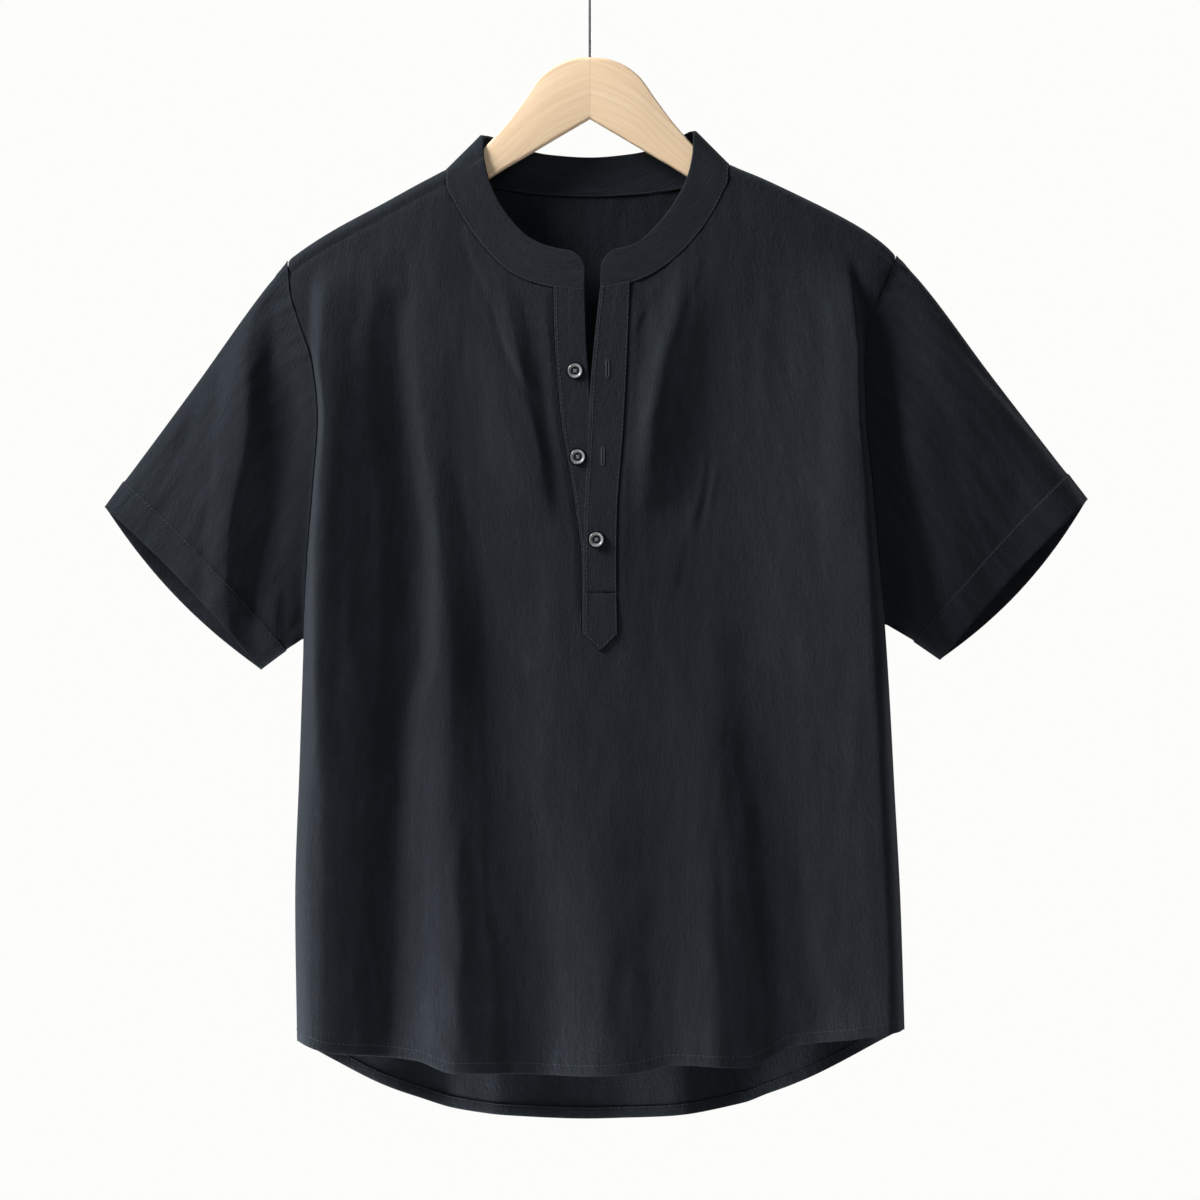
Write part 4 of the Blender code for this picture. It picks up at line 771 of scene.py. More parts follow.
# %% The front on its form, with its seams sunk and its hem turned in
BODY_HEM = 9.0
LINE_POINTS = 200
front_rows = hung(-1, flat[..., 0], flat[..., 1])
front_normals = facing(front_rows)
junction_x = {side: neck_seam(marks["junction", side], 0, 2)[0, 0] for side in SIGN}
shoulder_lines = {}
for side in SIGN:
    x = shoulder_x(side, junction_x[side], SHOULDER_SEAM_DROP, SHOULDER_COLUMNS)
    shoulder_lines[side] = shoulder_point(x, None)
front_hem = front_rows[-1].copy()
for side in SIGN:
    ends = [marks[kind, side] for kind in ("slit", "junction")]
    drops = np.linspace(shoulder_lines[side][0, 2], UNDERARMS[side], LINE_POINTS)
    armhole = hung(-1, edge_x(side, drops), drops)
    front_neck = neck_seam(*(ends if side == "left" else ends[::-1]), LINE_POINTS)
    for line, dip, pucker, seed in (
            (armhole, SEAM_DIP, 0.22, 21), (shoulder_lines[side], SEAM_DIP, 0.22, 22),
            (front_neck, 1.1, 0.25, 23)):
        front_rows = sewn(front_rows, front_normals, line, dip, pucker, seed=seed)
hem_gathers = 0.35 * off_the_sides(front_rows)
front_rows = sewn(front_rows, front_normals, front_hem, 0.0, hem_gathers, BODY_HEM, 24)
front_normals = facing(front_rows)
front_all = turned(front_rows, front_normals, BODY_HEM)
slit_start = left_half.shape[1] - 1


def beside_slit(j, i):
    """Leave the slit open down to its foot."""
    return (j >= UPPER_STEPS) | (i < slit_start) | (i >= slit_start + SLIT_COLUMNS)

# %% [markdown]
# ## The linen
# Linen threads are thick in one place and thin in the next, so the cloth has short slubs, a dull
# handle and a soft sheen at grazing angles. The weave is drawn by its nodes: two sets of fine waves
# for the threads, stretched noise for the slubs, and a soft crinkle that washing leaves in the cloth.

# %% Helpers for node materials
class Paint:
    """A node tree being filled. Each helper adds a node, fed by numbers or by other nodes' outputs."""

    def __init__(self, owner):
        owner.use_nodes = True
        self.nodes, self.links = owner.node_tree.nodes, owner.node_tree.links

    def feed(self, node, inputs):
        """Set or link the inputs of a node, and give its first output."""
        for name, value in inputs.items():
            if isinstance(value, bpy.types.NodeSocket):
                self.links.new(value, node.inputs[name])
            else:
                node.inputs[name].default_value = value
        return node.outputs[0] if node.outputs else None

    def add(self, kind, inputs, **settings):
        """Add a node of a kind, and give its first output."""
        node = self.nodes.new("ShaderNode" + kind)
        for name, value in settings.items():
            setattr(node, name, value)
        return self.feed(node, inputs)

    def sum(self, operation, first, second=0.0):
        """One sum."""
        return self.add("Math", {0: first, 1: second}, operation=operation)

    def mixed(self, *weighted):
        """Add up noises, each given with its weight."""
        parts = [self.sum("MULTIPLY", noise, weight) for noise, weight in weighted]
        total = parts[0]
        for part in parts[1:]:
            total = self.sum("ADD", total, part)
        return total

    def uv(self, name="threads"):
        """The places on a piece along its own UVs."""
        return self.add("UVMap", {}, uv_map=name)

    def place(self):
        """The places on a piece in space."""
        return self.nodes.new("ShaderNodeTexCoord").outputs["Object"]

    def noise(self, places, scale, detail=2.0, roughness=0.5):
        """Noise at a different scale along each axis."""
        stretched = self.add("Mapping", {"Vector": places, "Scale": scale})
        inputs = {"Vector": stretched, "Scale": 1.0, "Detail": detail, "Roughness": roughness}
        return self.add("TexNoise", inputs)

    def ramp(self, factor, *stops):
        """Colours along a factor."""
        node = self.nodes.new("ShaderNodeValToRGB")
        scale = node.color_ramp.elements
        for element, (place, colour) in zip(scale, (stops[0], stops[-1])):
            element.position, element.color = place, (*colour, 1.0)
        for place, colour in stops[1:-1]:
            scale.new(place).color = (*colour, 1.0)
        return self.feed(node, {0: factor})

    def bump(self, height, distance, strength=1.0, under=None):
        """Relief of a height in metres, laid over another relief."""
        inputs = {"Distance": distance, "Strength": strength, "Height": height}
        return self.add("Bump", inputs if under is None else {**inputs, "Normal": under})


def new_material(name):
    """A material, and the paint for its nodes."""
    material = bpy.data.materials.new(name)
    return material, Paint(material)


def finished(paint, colour, roughness, specular=0.5, normal=None, **others):
    """Give a material's shader its colour, its dullness and its relief."""
    inputs = {"Base Color": colour if isinstance(colour, bpy.types.NodeSocket) else (*colour, 1.0),
              "Roughness": roughness, "Specular IOR Level": specular}
    inputs.update({name.replace("_", " "): value for name, value in others.items()})
    if normal is not None:
        inputs["Normal"] = normal
    paint.feed(paint.nodes["Principled BSDF"], inputs)

# %% Black linen
THREAD_PITCH = 0.00058    # metres from one thread to the next
THREAD_RATE = 2.0 * math.pi / THREAD_PITCH
LINEN_DARK, LINEN_BLACK, LINEN_LIGHT = ((f * 0.0112, f * 0.0145, f * 0.0196) for f in (0.6, 1.0, 1.7))
linen, paint = new_material("black_linen_woven")
uv = paint.uv()
split = paint.nodes.new("ShaderNodeSeparateXYZ")
paint.feed(split, {0: uv})
waves = [paint.sum("SINE", paint.sum("MULTIPLY", axis, THREAD_RATE)) for axis in split.outputs[:2]]
slubs = paint.noise(uv, (1500.0, 90.0, 1.0), 3.0, 0.6)
weft_slubs = paint.noise(uv, (80.0, 1300.0, 1.0), 3.0, 0.6)
crinkle = paint.noise(uv, (400.0, 190.0, 1.0), 3.0, 0.6)
patches = paint.noise(uv, (110.0, 22.0, 1.0), 4.0, 0.65)
tone = paint.mixed((slubs, 0.35), (weft_slubs, 0.25), (patches, 0.4))
relief = paint.bump(crinkle, 0.0008)
for height, depth, strength in ((slubs, 0.0003, 0.9), (weft_slubs, 0.00036, 0.9),
                                (paint.sum("MULTIPLY", *waves), 0.00007, 0.7)):
    relief = paint.bump(height, depth, strength, relief)
shade = paint.ramp(tone, (0.32, LINEN_DARK), (0.5, LINEN_BLACK), (0.68, LINEN_LIGHT))
finished(paint, shade, 0.88, 0.14, relief,
         Sheen_Weight=0.06, Sheen_Roughness=0.5, Sheen_Tint=(0.72, 0.8, 0.95, 1.0))
front = sheet_of("front_cloth", front_all, threads_of(front_all, slit_start), linen, keep=beside_slit)

# %% [markdown]
# ## The back
# The back is cut in one with the shoulders: it runs over the hanger's arm and is sewn to the front a
# little below the ridge, so the seam shows on the front. Its tail is longer than the front's and shows
# below it.

# %% The back's rows, over the shoulders and down
BACK_SHOULDER_COLUMNS, BACK_NECK_COLUMNS = 44, 92
BACK_MIDDLE = 0.44
fall_neck = neck_seam(marks["fall", "left"], marks["fall", "right"], BACK_NECK_COLUMNS + 1)[:, [0, 2]]
shoulder_flat = {}
for side, neck_x in (("left", fall_neck[0, 0]), ("right", fall_neck[-1, 0])):
    x = shoulder_x(side, neck_x, ROLL_DROP, BACK_SHOULDER_COLUMNS)
    shoulder_flat[side] = np.stack([x, ridge(x) + ROLL_DROP], -1)
top = np.concatenate([shoulder_flat["left"][:-1], fall_neck, shoulder_flat["right"][:-1][::-1]])
flat = upright((top[:, 0] - top[0, 0]) / (top[-1, 0] - top[0, 0]), down_parts(BACK_MIDDLE),
               lambda x: np.interp(x, top[:, 0], top[:, 1]), hem("back"),
               lambda drop: edge_x("left", drop), lambda drop: edge_x("right", drop))
body = hung(1, flat[..., 0], flat[..., 1])
WING, WING_ROWS = len(shoulder_flat["left"]), len(ROLL_ANGLES)
wings = np.repeat(body[:1], WING_ROWS, axis=0)
for side in SIGN:
    crown = [row for row in NECKLINE if row.kind == "ridge" and row.seam_x * SIGN[side] > 0][0]
    on_ridge = shoulder_x(side, crown.seam_x, 0.0, BACK_SHOULDER_COLUMNS)
    at_front = shoulder_x(side, junction_x[side], SHOULDER_SEAM_DROP, BACK_SHOULDER_COLUMNS)
    columns = slice(0, WING) if side == "left" else slice(-1, -WING - 1, -1)
    for row, angle in enumerate(ROLL_ANGLES):
        x = between(on_ridge, at_front, shoulder_flat[side][:, 0], angle)
        wings[row, columns] = shoulder_point(x, angle)
        if angle is not None:
            wings[row, columns.start] = armhole_point(side, angle)
back_rows = np.concatenate([wings, body])
wide = back_rows.shape[1]
print("back grid:", back_rows.shape)

# %% The back's seams and hem
WINGS = (slice(0, WING), slice(-WING, None))
back_normals = -facing(back_rows)
for columns in WINGS:
    back_normals[:WING_ROWS, columns] = -facing(back_rows[:WING_ROWS + 1, columns])[:WING_ROWS]
back_hem = back_rows[-1].copy()
for side in SIGN:
    drops = np.linspace(float(ridge(TIPS[side])) + ROLL_DROP, UNDERARMS[side], LINE_POINTS)
    over_tip = back_rows[:WING_ROWS, 0 if side == "left" else -1]
    armhole = np.concatenate([over_tip, hung(1, edge_x(side, drops), drops)])
    back_rows = sewn(back_rows, back_normals, armhole, pucker=0.22, seed=31)
    back_rows = sewn(back_rows, back_normals, shoulder_lines[side], pucker=0.2, seed=32)
back_neck = neck_seam(marks["junction", "left"], marks["junction", "right"], 500)
back_rows = sewn(back_rows, back_normals, back_neck, pucker=0.2, seed=33)
hem_gathers = 0.35 * off_the_sides(back_rows)
back_rows = sewn(back_rows, back_normals, back_hem, 0.0, hem_gathers, BODY_HEM, 34)
back_normals[WING_ROWS:] = -facing(back_rows[WING_ROWS:])
for columns in WINGS:
    back_normals[:WING_ROWS + 1, columns] = -facing(back_rows[:WING_ROWS + 1, columns])
back_all = turned(back_rows, back_normals, BODY_HEM)


def beside_neck(j, i):
    """Leave the back open between its two shoulders."""
    return (j >= WING_ROWS) | (i < WING - 1) | (i >= wide - WING)


threads = threads_of(back_all, wide // 2)
back = sheet_of("back_cloth", back_all, threads, linen, keep=beside_neck, flip=True)

# %% [markdown]
# ## The sleeves
# Each sleeve is a tube, set into its armhole and pressed nearly flat by its own weight. Its section
# changes from the armhole's curve to a flat pocket at the cuff. The cuff's wide hem is turned in, so
# the open sleeve shows cloth on its inside too.

# %% The armhole and the sleeve's sections
RING_HALF = 170           # points on each side of a sleeve
SLEEVE_ROWS = 72
SLEEVE_FLATNESS = 0.4
SLEEVE_FOLD_RIM, SLEEVE_CREASE_RIM = 0.8, 0.6
ARMHOLE_REACH = 0.55      # part of the sleeve's length that the armhole's own curve shapes
SLEEVE_FOLD_START = 0.3


def armhole_side(side, face):
    """The armhole's dense line from the ridge to the underarm, on the front or the back."""
    angles = range(90, 181, 6) if face < 0 else range(90, -1, -6)
    over = [armhole_point(side, angle) for angle in angles]
    drops = np.linspace(over[-1][2], UNDERARMS[side], 400)[1:]
    down = hung(face, edge_x(side, drops), drops)
    down[-1, 1] = 0.0
    return np.concatenate([over, down])


def sleeve_section(row, part, face, side, fold_part):
    """Points of a sleeve's section: part goes from its upper fold to its fold under the arm."""
    bulge = 4.0 * part * (1.0 - part)
    swell = np.maximum(bulge, 0.0) ** SLEEVE_FLATNESS
    depth = np.where(face < 0, row["front"], row["back"])
    bow = np.where(face < 0, row["front_bow"], row["back_bow"])
    top = np.array([row["top_x"], row["top_drop"]])
    under = np.array([row["under_x"], row["under_drop"]])
    out = np.array([top[1] - under[1], under[0] - top[0]]) / np.linalg.norm(under - top)
    out = out * math.copysign(1.0, out[0] * top[0])
    x, drop = (top + (under - top) * part[:, None] + out * (bow * bulge)[:, None]).T
    rise = np.zeros(len(part))
    for which in (-1, 1):
        here = face == which
        fold = folded((side, which), x[here], drop[here])
        if which < 0:
            fold = fold + swelled(side, x[here], drop[here])
        small = creased((side, which), x[here], drop[here])
        for height, wide, long, seed in ((0.5, 17.0, 1.7, 41), (0.28, 40.0, 3.6, 44)):
            place = np.full(here.sum(), row["at"] * long + 9)
            small += height * rumple(part[here] * wide + 5, place, seed + which)
        small = small * ease(swell[here] / SLEEVE_CREASE_RIM)
        rise[here] = fold * ease(swell[here] / SLEEVE_FOLD_RIM) + small
    return np.stack([x, face * (depth * swell + rise * fold_part), drop], -1)


def sleeve_rows(side):
    """Rows of a sleeve, from its armhole to its cuff."""
    spread = (1.0 - np.cos(np.linspace(0.0, math.pi, RING_HALF + 1))) / 2.0
    part = np.concatenate([spread, spread[-2:0:-1]])
    face = np.concatenate([np.full(RING_HALF + 1, -1), np.full(RING_HALF - 1, 1)])
    start = float(ridge(TIPS[side]))
    ring = np.zeros((len(part), 3))
    for which in (-1, 1):
        line, here = armhole_side(side, which), face == which
        ring[here] = on_line(line[:, 2], line, start + part[here] * (UNDERARMS[side] - start), np.interp)
    rows = []
    for place in np.linspace(0.0, 1.0, SLEEVE_ROWS + 1):
        row = {name: float(smooth(SLEEVES[side], "at", name, place)) for name in SLEEVES[side]}
        section = sleeve_section(row, part, face, side, ease(place / SLEEVE_FOLD_START))
        if not rows:
            offset = ring - section
        rows.append(section + offset * (1.0 - ease(place / ARMHOLE_REACH)))
    return np.array(rows)

# %% Both sleeves
CUFF_HEM = 25.0
GATHER = 1.3              # height of the gathers along the armhole, which fade out below GATHER_END
GATHER_END, GATHER_FADE = 120.0, 90.0
sleeves, sleeve_grids = {}, {}
for side in SIGN:
    rows = sleeve_rows(side)
    normals = facing(rows, ring=True) * SIGN[side]
    armhole, cuff = (np.concatenate([row, row[:1]]) for row in (rows[0], rows[-1]))
    gathers = GATHER * (1.0 - ease((rows[..., 2] - GATHER_END) / GATHER_FADE))
    rows = sewn(rows, normals, armhole, pucker=gathers, at=6.0, seed=51, pitch=4.0, reach=7.0)
    rows = sewn(rows, normals, cuff, dip=0.0, pucker=0.22, at=CUFF_HEM, seed=52)
    normals = facing(rows, ring=True) * SIGN[side]
    whole = turned(rows, normals, CUFF_HEM)
    threads = threads_of(np.concatenate([whole, whole[:, :1]], axis=1), 0)
    flip = side == "right"
    sleeves[side] = sheet_of("sleeve_cloth_" + side, whole, threads, linen, ring=True, flip=flip)
    sleeve_grids[side] = rows, normals

# %% [markdown]
# ## The band collar and the placket
# Both are folded strips of linen, so they are double cloth and look fuller than the body. Each is
# built from the surface in its middle, moved out to both sides and drawn together at its edges, which
# rounds them as a pressed fold is rounded.

# %% Double cloth
Strip = namedtuple("Strip", "rows normals thickness")
WELD = 0.000002


def strip_of(name, strip, soft):
    """Double cloth round a middle surface: full in its middle, drawn together at all four edges."""
    middle, normals, thickness = strip
    across, down = measured(middle, 1), measured(middle, 0)
    inset = np.minimum(np.minimum(across, across[:, -1:] - across), np.minimum(down, down[-1:] - down))
    full = np.sqrt(1.0 - (1.0 - np.clip(inset / soft, 0.0, 1.0)) ** 2)
    push = normals * (full * thickness / 2.0)[..., None]
    rows = np.concatenate([middle + push, (middle - push)[:, -2:0:-1]], axis=1)
    threads = threads_of(np.concatenate([rows, rows[:, :1]], axis=1), 0)
    piece = sheet_of(name, rows, threads, linen, ring=True)
    shape = bmesh.new()
    shape.from_mesh(piece.data)
    bmesh.ops.remove_doubles(shape, verts=shape.verts, dist=WELD)
    bmesh.ops.recalc_face_normals(shape, faces=shape.faces)
    shape.to_mesh(piece.data)
    shape.free()
    piece.data.shade_smooth()
    return piece


def edged(count, soft, length):
    """Parts of a length, close together near both ends so that the edges come out round."""
    rim = soft / length * (1.0 - np.cos(np.radians(np.arange(0, 90, 15))))
    return np.concatenate([rim, np.linspace(soft / length, 1.0 - soft / length, count), 1.0 - rim[::-1]])

# %% The collar band
BAND_THICKNESS = 2.2
BAND_PROUD = 0.6
BAND_HEIGHT = 28.0
BAND_SOFT = 1.3
BAND_TUCK = 1.6           # how far the band's foot reaches over the cloth's edge
BAND_CORNER = 14.0        # radius of its two front ends
BAND_PLACES, BAND_COLUMNS = 230, 12


def band_surface():
    """The middle of the band: one row for each place round the neck, from the seam to its free edge."""
    around = neck_at[-1]
    places = around * edged(BAND_PLACES, 3.0, around)
    seam, free = (on_line(neck_at, line, places) for line in (neck_seams, neck_tops))
    height = np.linalg.norm(free - seam, axis=-1)
    up = (free - seam) / height[:, None]
    ends = np.minimum(np.abs(seam[:, 0] - neck_seams[0, 0]), np.abs(seam[:, 0] - neck_seams[-1, 0]))
    at_end = (seam[:, 1] < 0) & (ends < BAND_CORNER) & (np.abs(places - around / 2) > around / 4)
    corner = BAND_CORNER - np.sqrt(np.maximum(BAND_CORNER ** 2 - (BAND_CORNER - ends) ** 2, 0.0))
    height = height - np.where(at_end, corner, 0.0)
    tuck = BAND_TUCK / BAND_HEIGHT
    parts = edged(BAND_COLUMNS, BAND_SOFT, BAND_HEIGHT) * (1.0 + tuck) - tuck
    rows = seam[:, None] + up[:, None] * (height[:, None] * parts[None])[..., None]
    u, v = np.meshgrid(places / 26.0 + 7, parts * 1.2 + 5, indexing="ij")
    return rows, rumple(u, v, 61)


band_rows, band_wave = band_surface()
band_normals = -facing(band_rows.transpose(1, 0, 2)).transpose(1, 0, 2)
if band_normals[0, 5, 1] > 0:
    band_normals = -band_normals
band_out = BAND_PROUD - BAND_THICKNESS / 2 + 0.35 * band_wave
band_strip = Strip(band_rows + band_normals * band_out[..., None], band_normals, BAND_THICKNESS)
band = strip_of("collar_band_cloth", band_strip, BAND_SOFT)

# %% The placket's two strips
UNDERLAP_WIDTH, UNDERLAP_REACH = 24.0, 13.5
UNDERLAP_THICKNESS, UNDERLAP_PROUD = 1.2, 0.55
OVERLAP_THICKNESS = 1.3
OVERLAP_LIFT = 1.6        # how far the overlap's face lies above the front's
STRIP_SOFT = 0.9
STRIP_COLUMNS, STRIP_ROWS = 16, 230
neck_line = neck_seam(0.0, neck_at[-1], 900)
front_ends = np.concatenate([neck_line[:200], neck_line[-200:]])
front_ends = front_ends[front_ends[:, 1] < 0]
front_ends = front_ends[np.argsort(front_ends[:, 0])]


def strip_surface(left, right, foot, tip=None):
    """The face of a placket strip on the front's own surface, with a pointed foot if it has a tip."""
    across = edged(STRIP_COLUMNS, STRIP_SOFT, 25.0)[None, :]
    down = edged(STRIP_ROWS, STRIP_SOFT, 270.0)[:, None]
    top_x = left(SLIT_HEAD) + (right(SLIT_HEAD) - left(SLIT_HEAD)) * across
    top = np.interp(top_x, front_ends[:, 0], front_ends[:, 2]) - 1.0
    end = foot if tip is None else foot + (tip - foot) * (1.0 - np.abs(2.0 * across - 1.0))
    drop = top + (end - top) * down
    rows = hung(-1, left(drop) + (right(drop) - left(drop)) * across, drop, fine=False)
    return rows, facing(rows)


def read_strip(column):
    """A column of the placket's table, as a line down the front."""
    return lambda drop: smooth(STRIPS, "drop", column, drop)


def under_right(drop):
    """The underlap's inner edge."""
    return np.minimum(read_strip("under_left")(drop) + UNDERLAP_WIDTH, UNDERLAP_REACH)


rows, normals = strip_surface(read_strip("under_left"), under_right, SLIT_FOOT)
rows = rows + normals * (UNDERLAP_PROUD - UNDERLAP_THICKNESS / 2)
under_strip = Strip(rows, normals, UNDERLAP_THICKNESS)
placket_under = strip_of("placket_under_cloth", under_strip, STRIP_SOFT)
rows, normals = strip_surface(read_strip("over_left"), read_strip("over_right"), SLIT_FOOT, TIP_DROP)
rows = rows - normals * 0.9 * hump((rows[..., 2:] - CROSS_DROP) / 1.2)
rows = rows + normals * (OVERLAP_LIFT - OVERLAP_THICKNESS / 2)
over_strip = Strip(rows, normals, OVERLAP_THICKNESS)
placket_over = strip_of("placket_over_cloth", over_strip, STRIP_SOFT)

# %% [markdown]
# ## Sewing
# A row of stitches is many short threads, each dipping into the cloth at both ends. One helper lays
# them along any line on a grid of cloth, so the hems, the band and the placket all get real stitches
# and not a drawn dotted line.

# %% Threads along lines on the cloth
STITCH_LENGTH, STITCH_GAP = 2.5, 0.8
THREAD_RADIUS = 0.23
THREAD_SIDES = 6


def tubes(paths, normals, radius):
    """Points and quads of short threads. paths: (threads, points, 3)."""
    count, points = paths.shape[:2]
    ahead = unit(np.gradient(paths, axis=1))
    aside = unit(np.cross(ahead, normals))
    up = np.cross(aside, ahead)
    turn = np.linspace(0.0, 2.0 * math.pi, THREAD_SIDES, endpoint=False)
    around = np.cos(turn)[:, None] * aside[:, :, None] + np.sin(turn)[:, None] * up[:, :, None]
    verts = paths[:, :, None] + around * radius
    c, p, s = np.meshgrid(np.arange(count), np.arange(points - 1), np.arange(THREAD_SIDES), indexing="ij")
    n = (s + 1) % THREAD_SIDES
    base = (c * points + p) * THREAD_SIDES
    quads = np.stack([base + s, base + THREAD_SIDES + s, base + THREAD_SIDES + n, base + n], -1)
    return verts.reshape(-1, 3), quads.reshape(-1, 4)


def stitches(points, normals, lift=0.16):
    """Stitches along a line on cloth."""
    s = lengths(points)
    starts = np.arange(0.6, s[-1] - STITCH_LENGTH, STITCH_LENGTH + STITCH_GAP)
    part = np.linspace(0.0, 1.0, 5)
    at = starts[:, None] + part[None] * STITCH_LENGTH
    up = on_line(s, normals, at, np.interp)
    arch = lift - 0.5 * (2.0 * part - 1.0) ** 4
    return tubes(on_line(s, points, at, np.interp) + up * arch[None, :, None], up, THREAD_RADIUS)


def joined(name, parts, material):
    """One piece of many threads."""
    points, quads = zip(*parts)
    first = np.cumsum([0] + [len(line) for line in points])
    quads = np.concatenate([line + start for line, start in zip(quads, first)])
    return meshed(name, np.concatenate(points), quads, material)


def raised(rows, normals, depth, ring=False):
    """A line a depth above a grid's foot, and the way that its face looks there."""
    line, up = above_foot(rows, rows, depth), above_foot(rows, normals, depth)
    if ring:
        line, up = np.concatenate([line, line[:1]]), np.concatenate([up, up[:1]])
    return line, up


def both_sides(lines):
    """The same lines on the outside and the inside of the cloth."""
    return lines + [(line - up * (HEM_THICKNESS + 0.1), -up) for line, up in lines]

# %% Stitches of the hems, the cuffs, the band and the placket
BACKWARDS = [0.0, -1.0, 0.0]
thread, paint = new_material("black_thread")
twist = paint.noise(paint.place(), (900.0, 900.0, 900.0))
finished(paint, paint.ramp(twist, (0.3, (0.015, 0.019, 0.025)), (0.7, (0.038, 0.044, 0.055))), 0.55, 0.35)
hem_lines = both_sides([raised(front_rows, front_normals, BODY_HEM - 1.2),
                        raised(back_rows, back_normals, BODY_HEM - 1.2)])
cuff_lines = both_sides([raised(*sleeve_grids[side], CUFF_HEM - 1.5, ring=True) for side in SIGN])
hem_stitches = joined("hem_stitches", [stitches(*line, 0.05) for line in hem_lines], thread)
cuff_stitches = joined("cuff_stitches", [stitches(*line, -0.02) for line in cuff_lines], thread)


def inset_line(strip, inset, lengthwise=True, face=1):
    """A line an inset in from a strip's edge (below 0: its far edge), on its outer face or inner (-1)."""
    rows, normals = (strip.rows, strip.normals) if lengthwise else turned_strip(strip)
    across = lengths(rows[len(rows) // 2])
    column = int(np.argmin(np.abs(across - (inset if inset > 0 else across[-1] + inset))))
    up = normals[:, column] * face
    return rows[:, column] + up * strip.thickness / 2, up


def turned_strip(strip):
    """A strip's grid with its rows and columns swapped."""
    return strip.rows.transpose(1, 0, 2), strip.normals.transpose(1, 0, 2)


band_lines = [inset_line(band_strip, 2.2, face=face) for face in (1, -1)]
band_stitches = joined("band_stitches", [stitches(*line) for line in band_lines], thread)
cross_x = np.linspace(STRIPS["over_left"][-2] + 1.4, STRIPS["over_right"][-2] - 1.4, 40)
cross_line = hung(-1, cross_x, np.full(40, CROSS_DROP), fine=False) - [0.0, OVERLAP_LIFT - 0.9, 0.0]
placket_lines = [inset_line(under_strip, 2.0), inset_line(over_strip, 2.0), inset_line(over_strip, -2.0),
                 inset_line(over_strip, -2.4, lengthwise=False),
                 (cross_line, np.broadcast_to(BACKWARDS, cross_line.shape))]
placket_stitches = joined("placket_stitches", [stitches(*line) for line in placket_lines], thread)

# %% [markdown]
# ## Painted seam shadows
# Where two layers of cloth meet, no light gets in, and a thin dark line shows. Very fine near-black
# tubes laid along the seams of the band and the placket, and round the foot of each button, paint that
# shadow.

# %% Painted shadow lines along the seams of the band and the placket, and round each button
BUTTON_NODES = ("button_top", "button_middle", "button_low")
BUTTON_SHADE = 6.3        # radius of the ring of shade under a button
SHADOW_LINE_RADIUS = 0.3
# Near-black painted shade: the shadow in the seams, round the buttons and in the buttonholes' slits.
painted_shade, paint = new_material("painted_shadow_in_the_seams")
finished(paint, (0.002, 0.002, 0.003), 1.0, 0.0)


def beyond(rows, normals, edge, next_to_edge, out, up):
    """A line just outside a strip's edge, and raised along its normals."""
    return rows[edge] + unit(rows[edge] - rows[next_to_edge]) * out + normals[edge] * up, normals[edge]


def button_place(node):
    """A button's middle as x and drop, and the y of the cloth under it, from its CAD node."""
    low, high = (np.array(corner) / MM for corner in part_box(node))
    return (low[0] + high[0]) / 2, high[1], -(low[2] + high[2]) / 2 - NECK_BELOW_HOOK


seam_lines = [
    beyond(*turned_strip(band_strip), 0, 2, 0.2, 0.25),
    beyond(*turned_strip(under_strip), 0, 2, 0.25, 0.15),
    beyond(*turned_strip(over_strip), -1, -3, 0.2, -0.6),
    beyond(over_strip.rows, over_strip.normals, -1, -3, 0.2, -0.6),
    (cross_line - [0.0, 0.12, 0.0], np.broadcast_to(BACKWARDS, cross_line.shape)),
]
turn = np.linspace(0.0, 2.0 * math.pi, 49)
circle = np.stack([BUTTON_SHADE * np.cos(turn), np.full(49, -0.2), BUTTON_SHADE * np.sin(turn)], -1)
for node in BUTTON_NODES:
    seam_lines.append((circle + button_place(node), np.broadcast_to(BACKWARDS, circle.shape)))
# Each line is a thin near-black tube: painted shadow, not a part of the shirt.
painted_shadow_tubes = [tubes(line[None], up[None], SHADOW_LINE_RADIUS) for line, up in seam_lines]
painted_seam_shadows = joined("painted_seam_shadows", painted_shadow_tubes, painted_shade)

# %% [markdown]
# ## Buttonholes
# Each hole is a short slit with a bead of close stitches round it. The real ones run down the overlap,
# so they are narrow and upright.

# %% Buttonholes on the overlap
HOLE_LENGTH, HOLE_HALF_WIDTH = 13.0, 0.75
HOLE_STEP = 0.42
HOLES = {"hole_top": (13.6, 153.0), "hole_middle": (10.0, 219.5), "hole_low": (5.2, 283.0)}


def buttonhole(name, x, drop):
    """A slit painted as a near-black quad of shade, with satin stitches round it, on the overlap's face.
    """
    straight = HOLE_LENGTH - 2 * HOLE_HALF_WIDTH
    down = np.arange(0.0, straight, HOLE_STEP) - straight / 2
    turn = np.linspace(0.0, math.pi, 7)[1:-1]
    spots = [(sign, 0.0, d) for sign in (-1, 1) for d in down]
    spots += [(math.cos(t), sign * math.sin(t), sign * straight / 2) for sign in (-1, 1) for t in turn]
    out_x, out_down, base = np.array(spots).T[..., None]
    reach = HOLE_HALF_WIDTH * np.array([0.5, 0.8, 1.3, 1.8, 2.1])
    surface = hung(-1, x + out_x * reach, drop + base + out_down * reach, fine=False)
    surface[..., 1] -= OVERLAP_LIFT + 0.3 * np.array([0.2, 0.9, 1.1, 0.8, -0.2])
    points, quads = tubes(surface, np.broadcast_to(BACKWARDS, surface.shape), 0.2)
    # The slit is a flat near-black quad in the painted shade: the shadow inside the open slit.
    corners = np.array([(-1, -1), (1, -1), (1, 1), (-1, 1)]) * [HOLE_HALF_WIDTH * 0.5, straight / 2]
    slit = hung(-1, x + corners[:, 0], drop + corners[:, 1], fine=False) - [0.0, OVERLAP_LIFT + 0.08, 0.0]
    quads = np.concatenate([quads, [len(points) + np.arange(4)]])
    hole = meshed(name, np.concatenate([points, slit]), quads, thread, painted_shade)
    hole.data.polygons[-1].material_index = 1
    return hole


holes = [buttonhole(name, *place) for name, place in HOLES.items()]
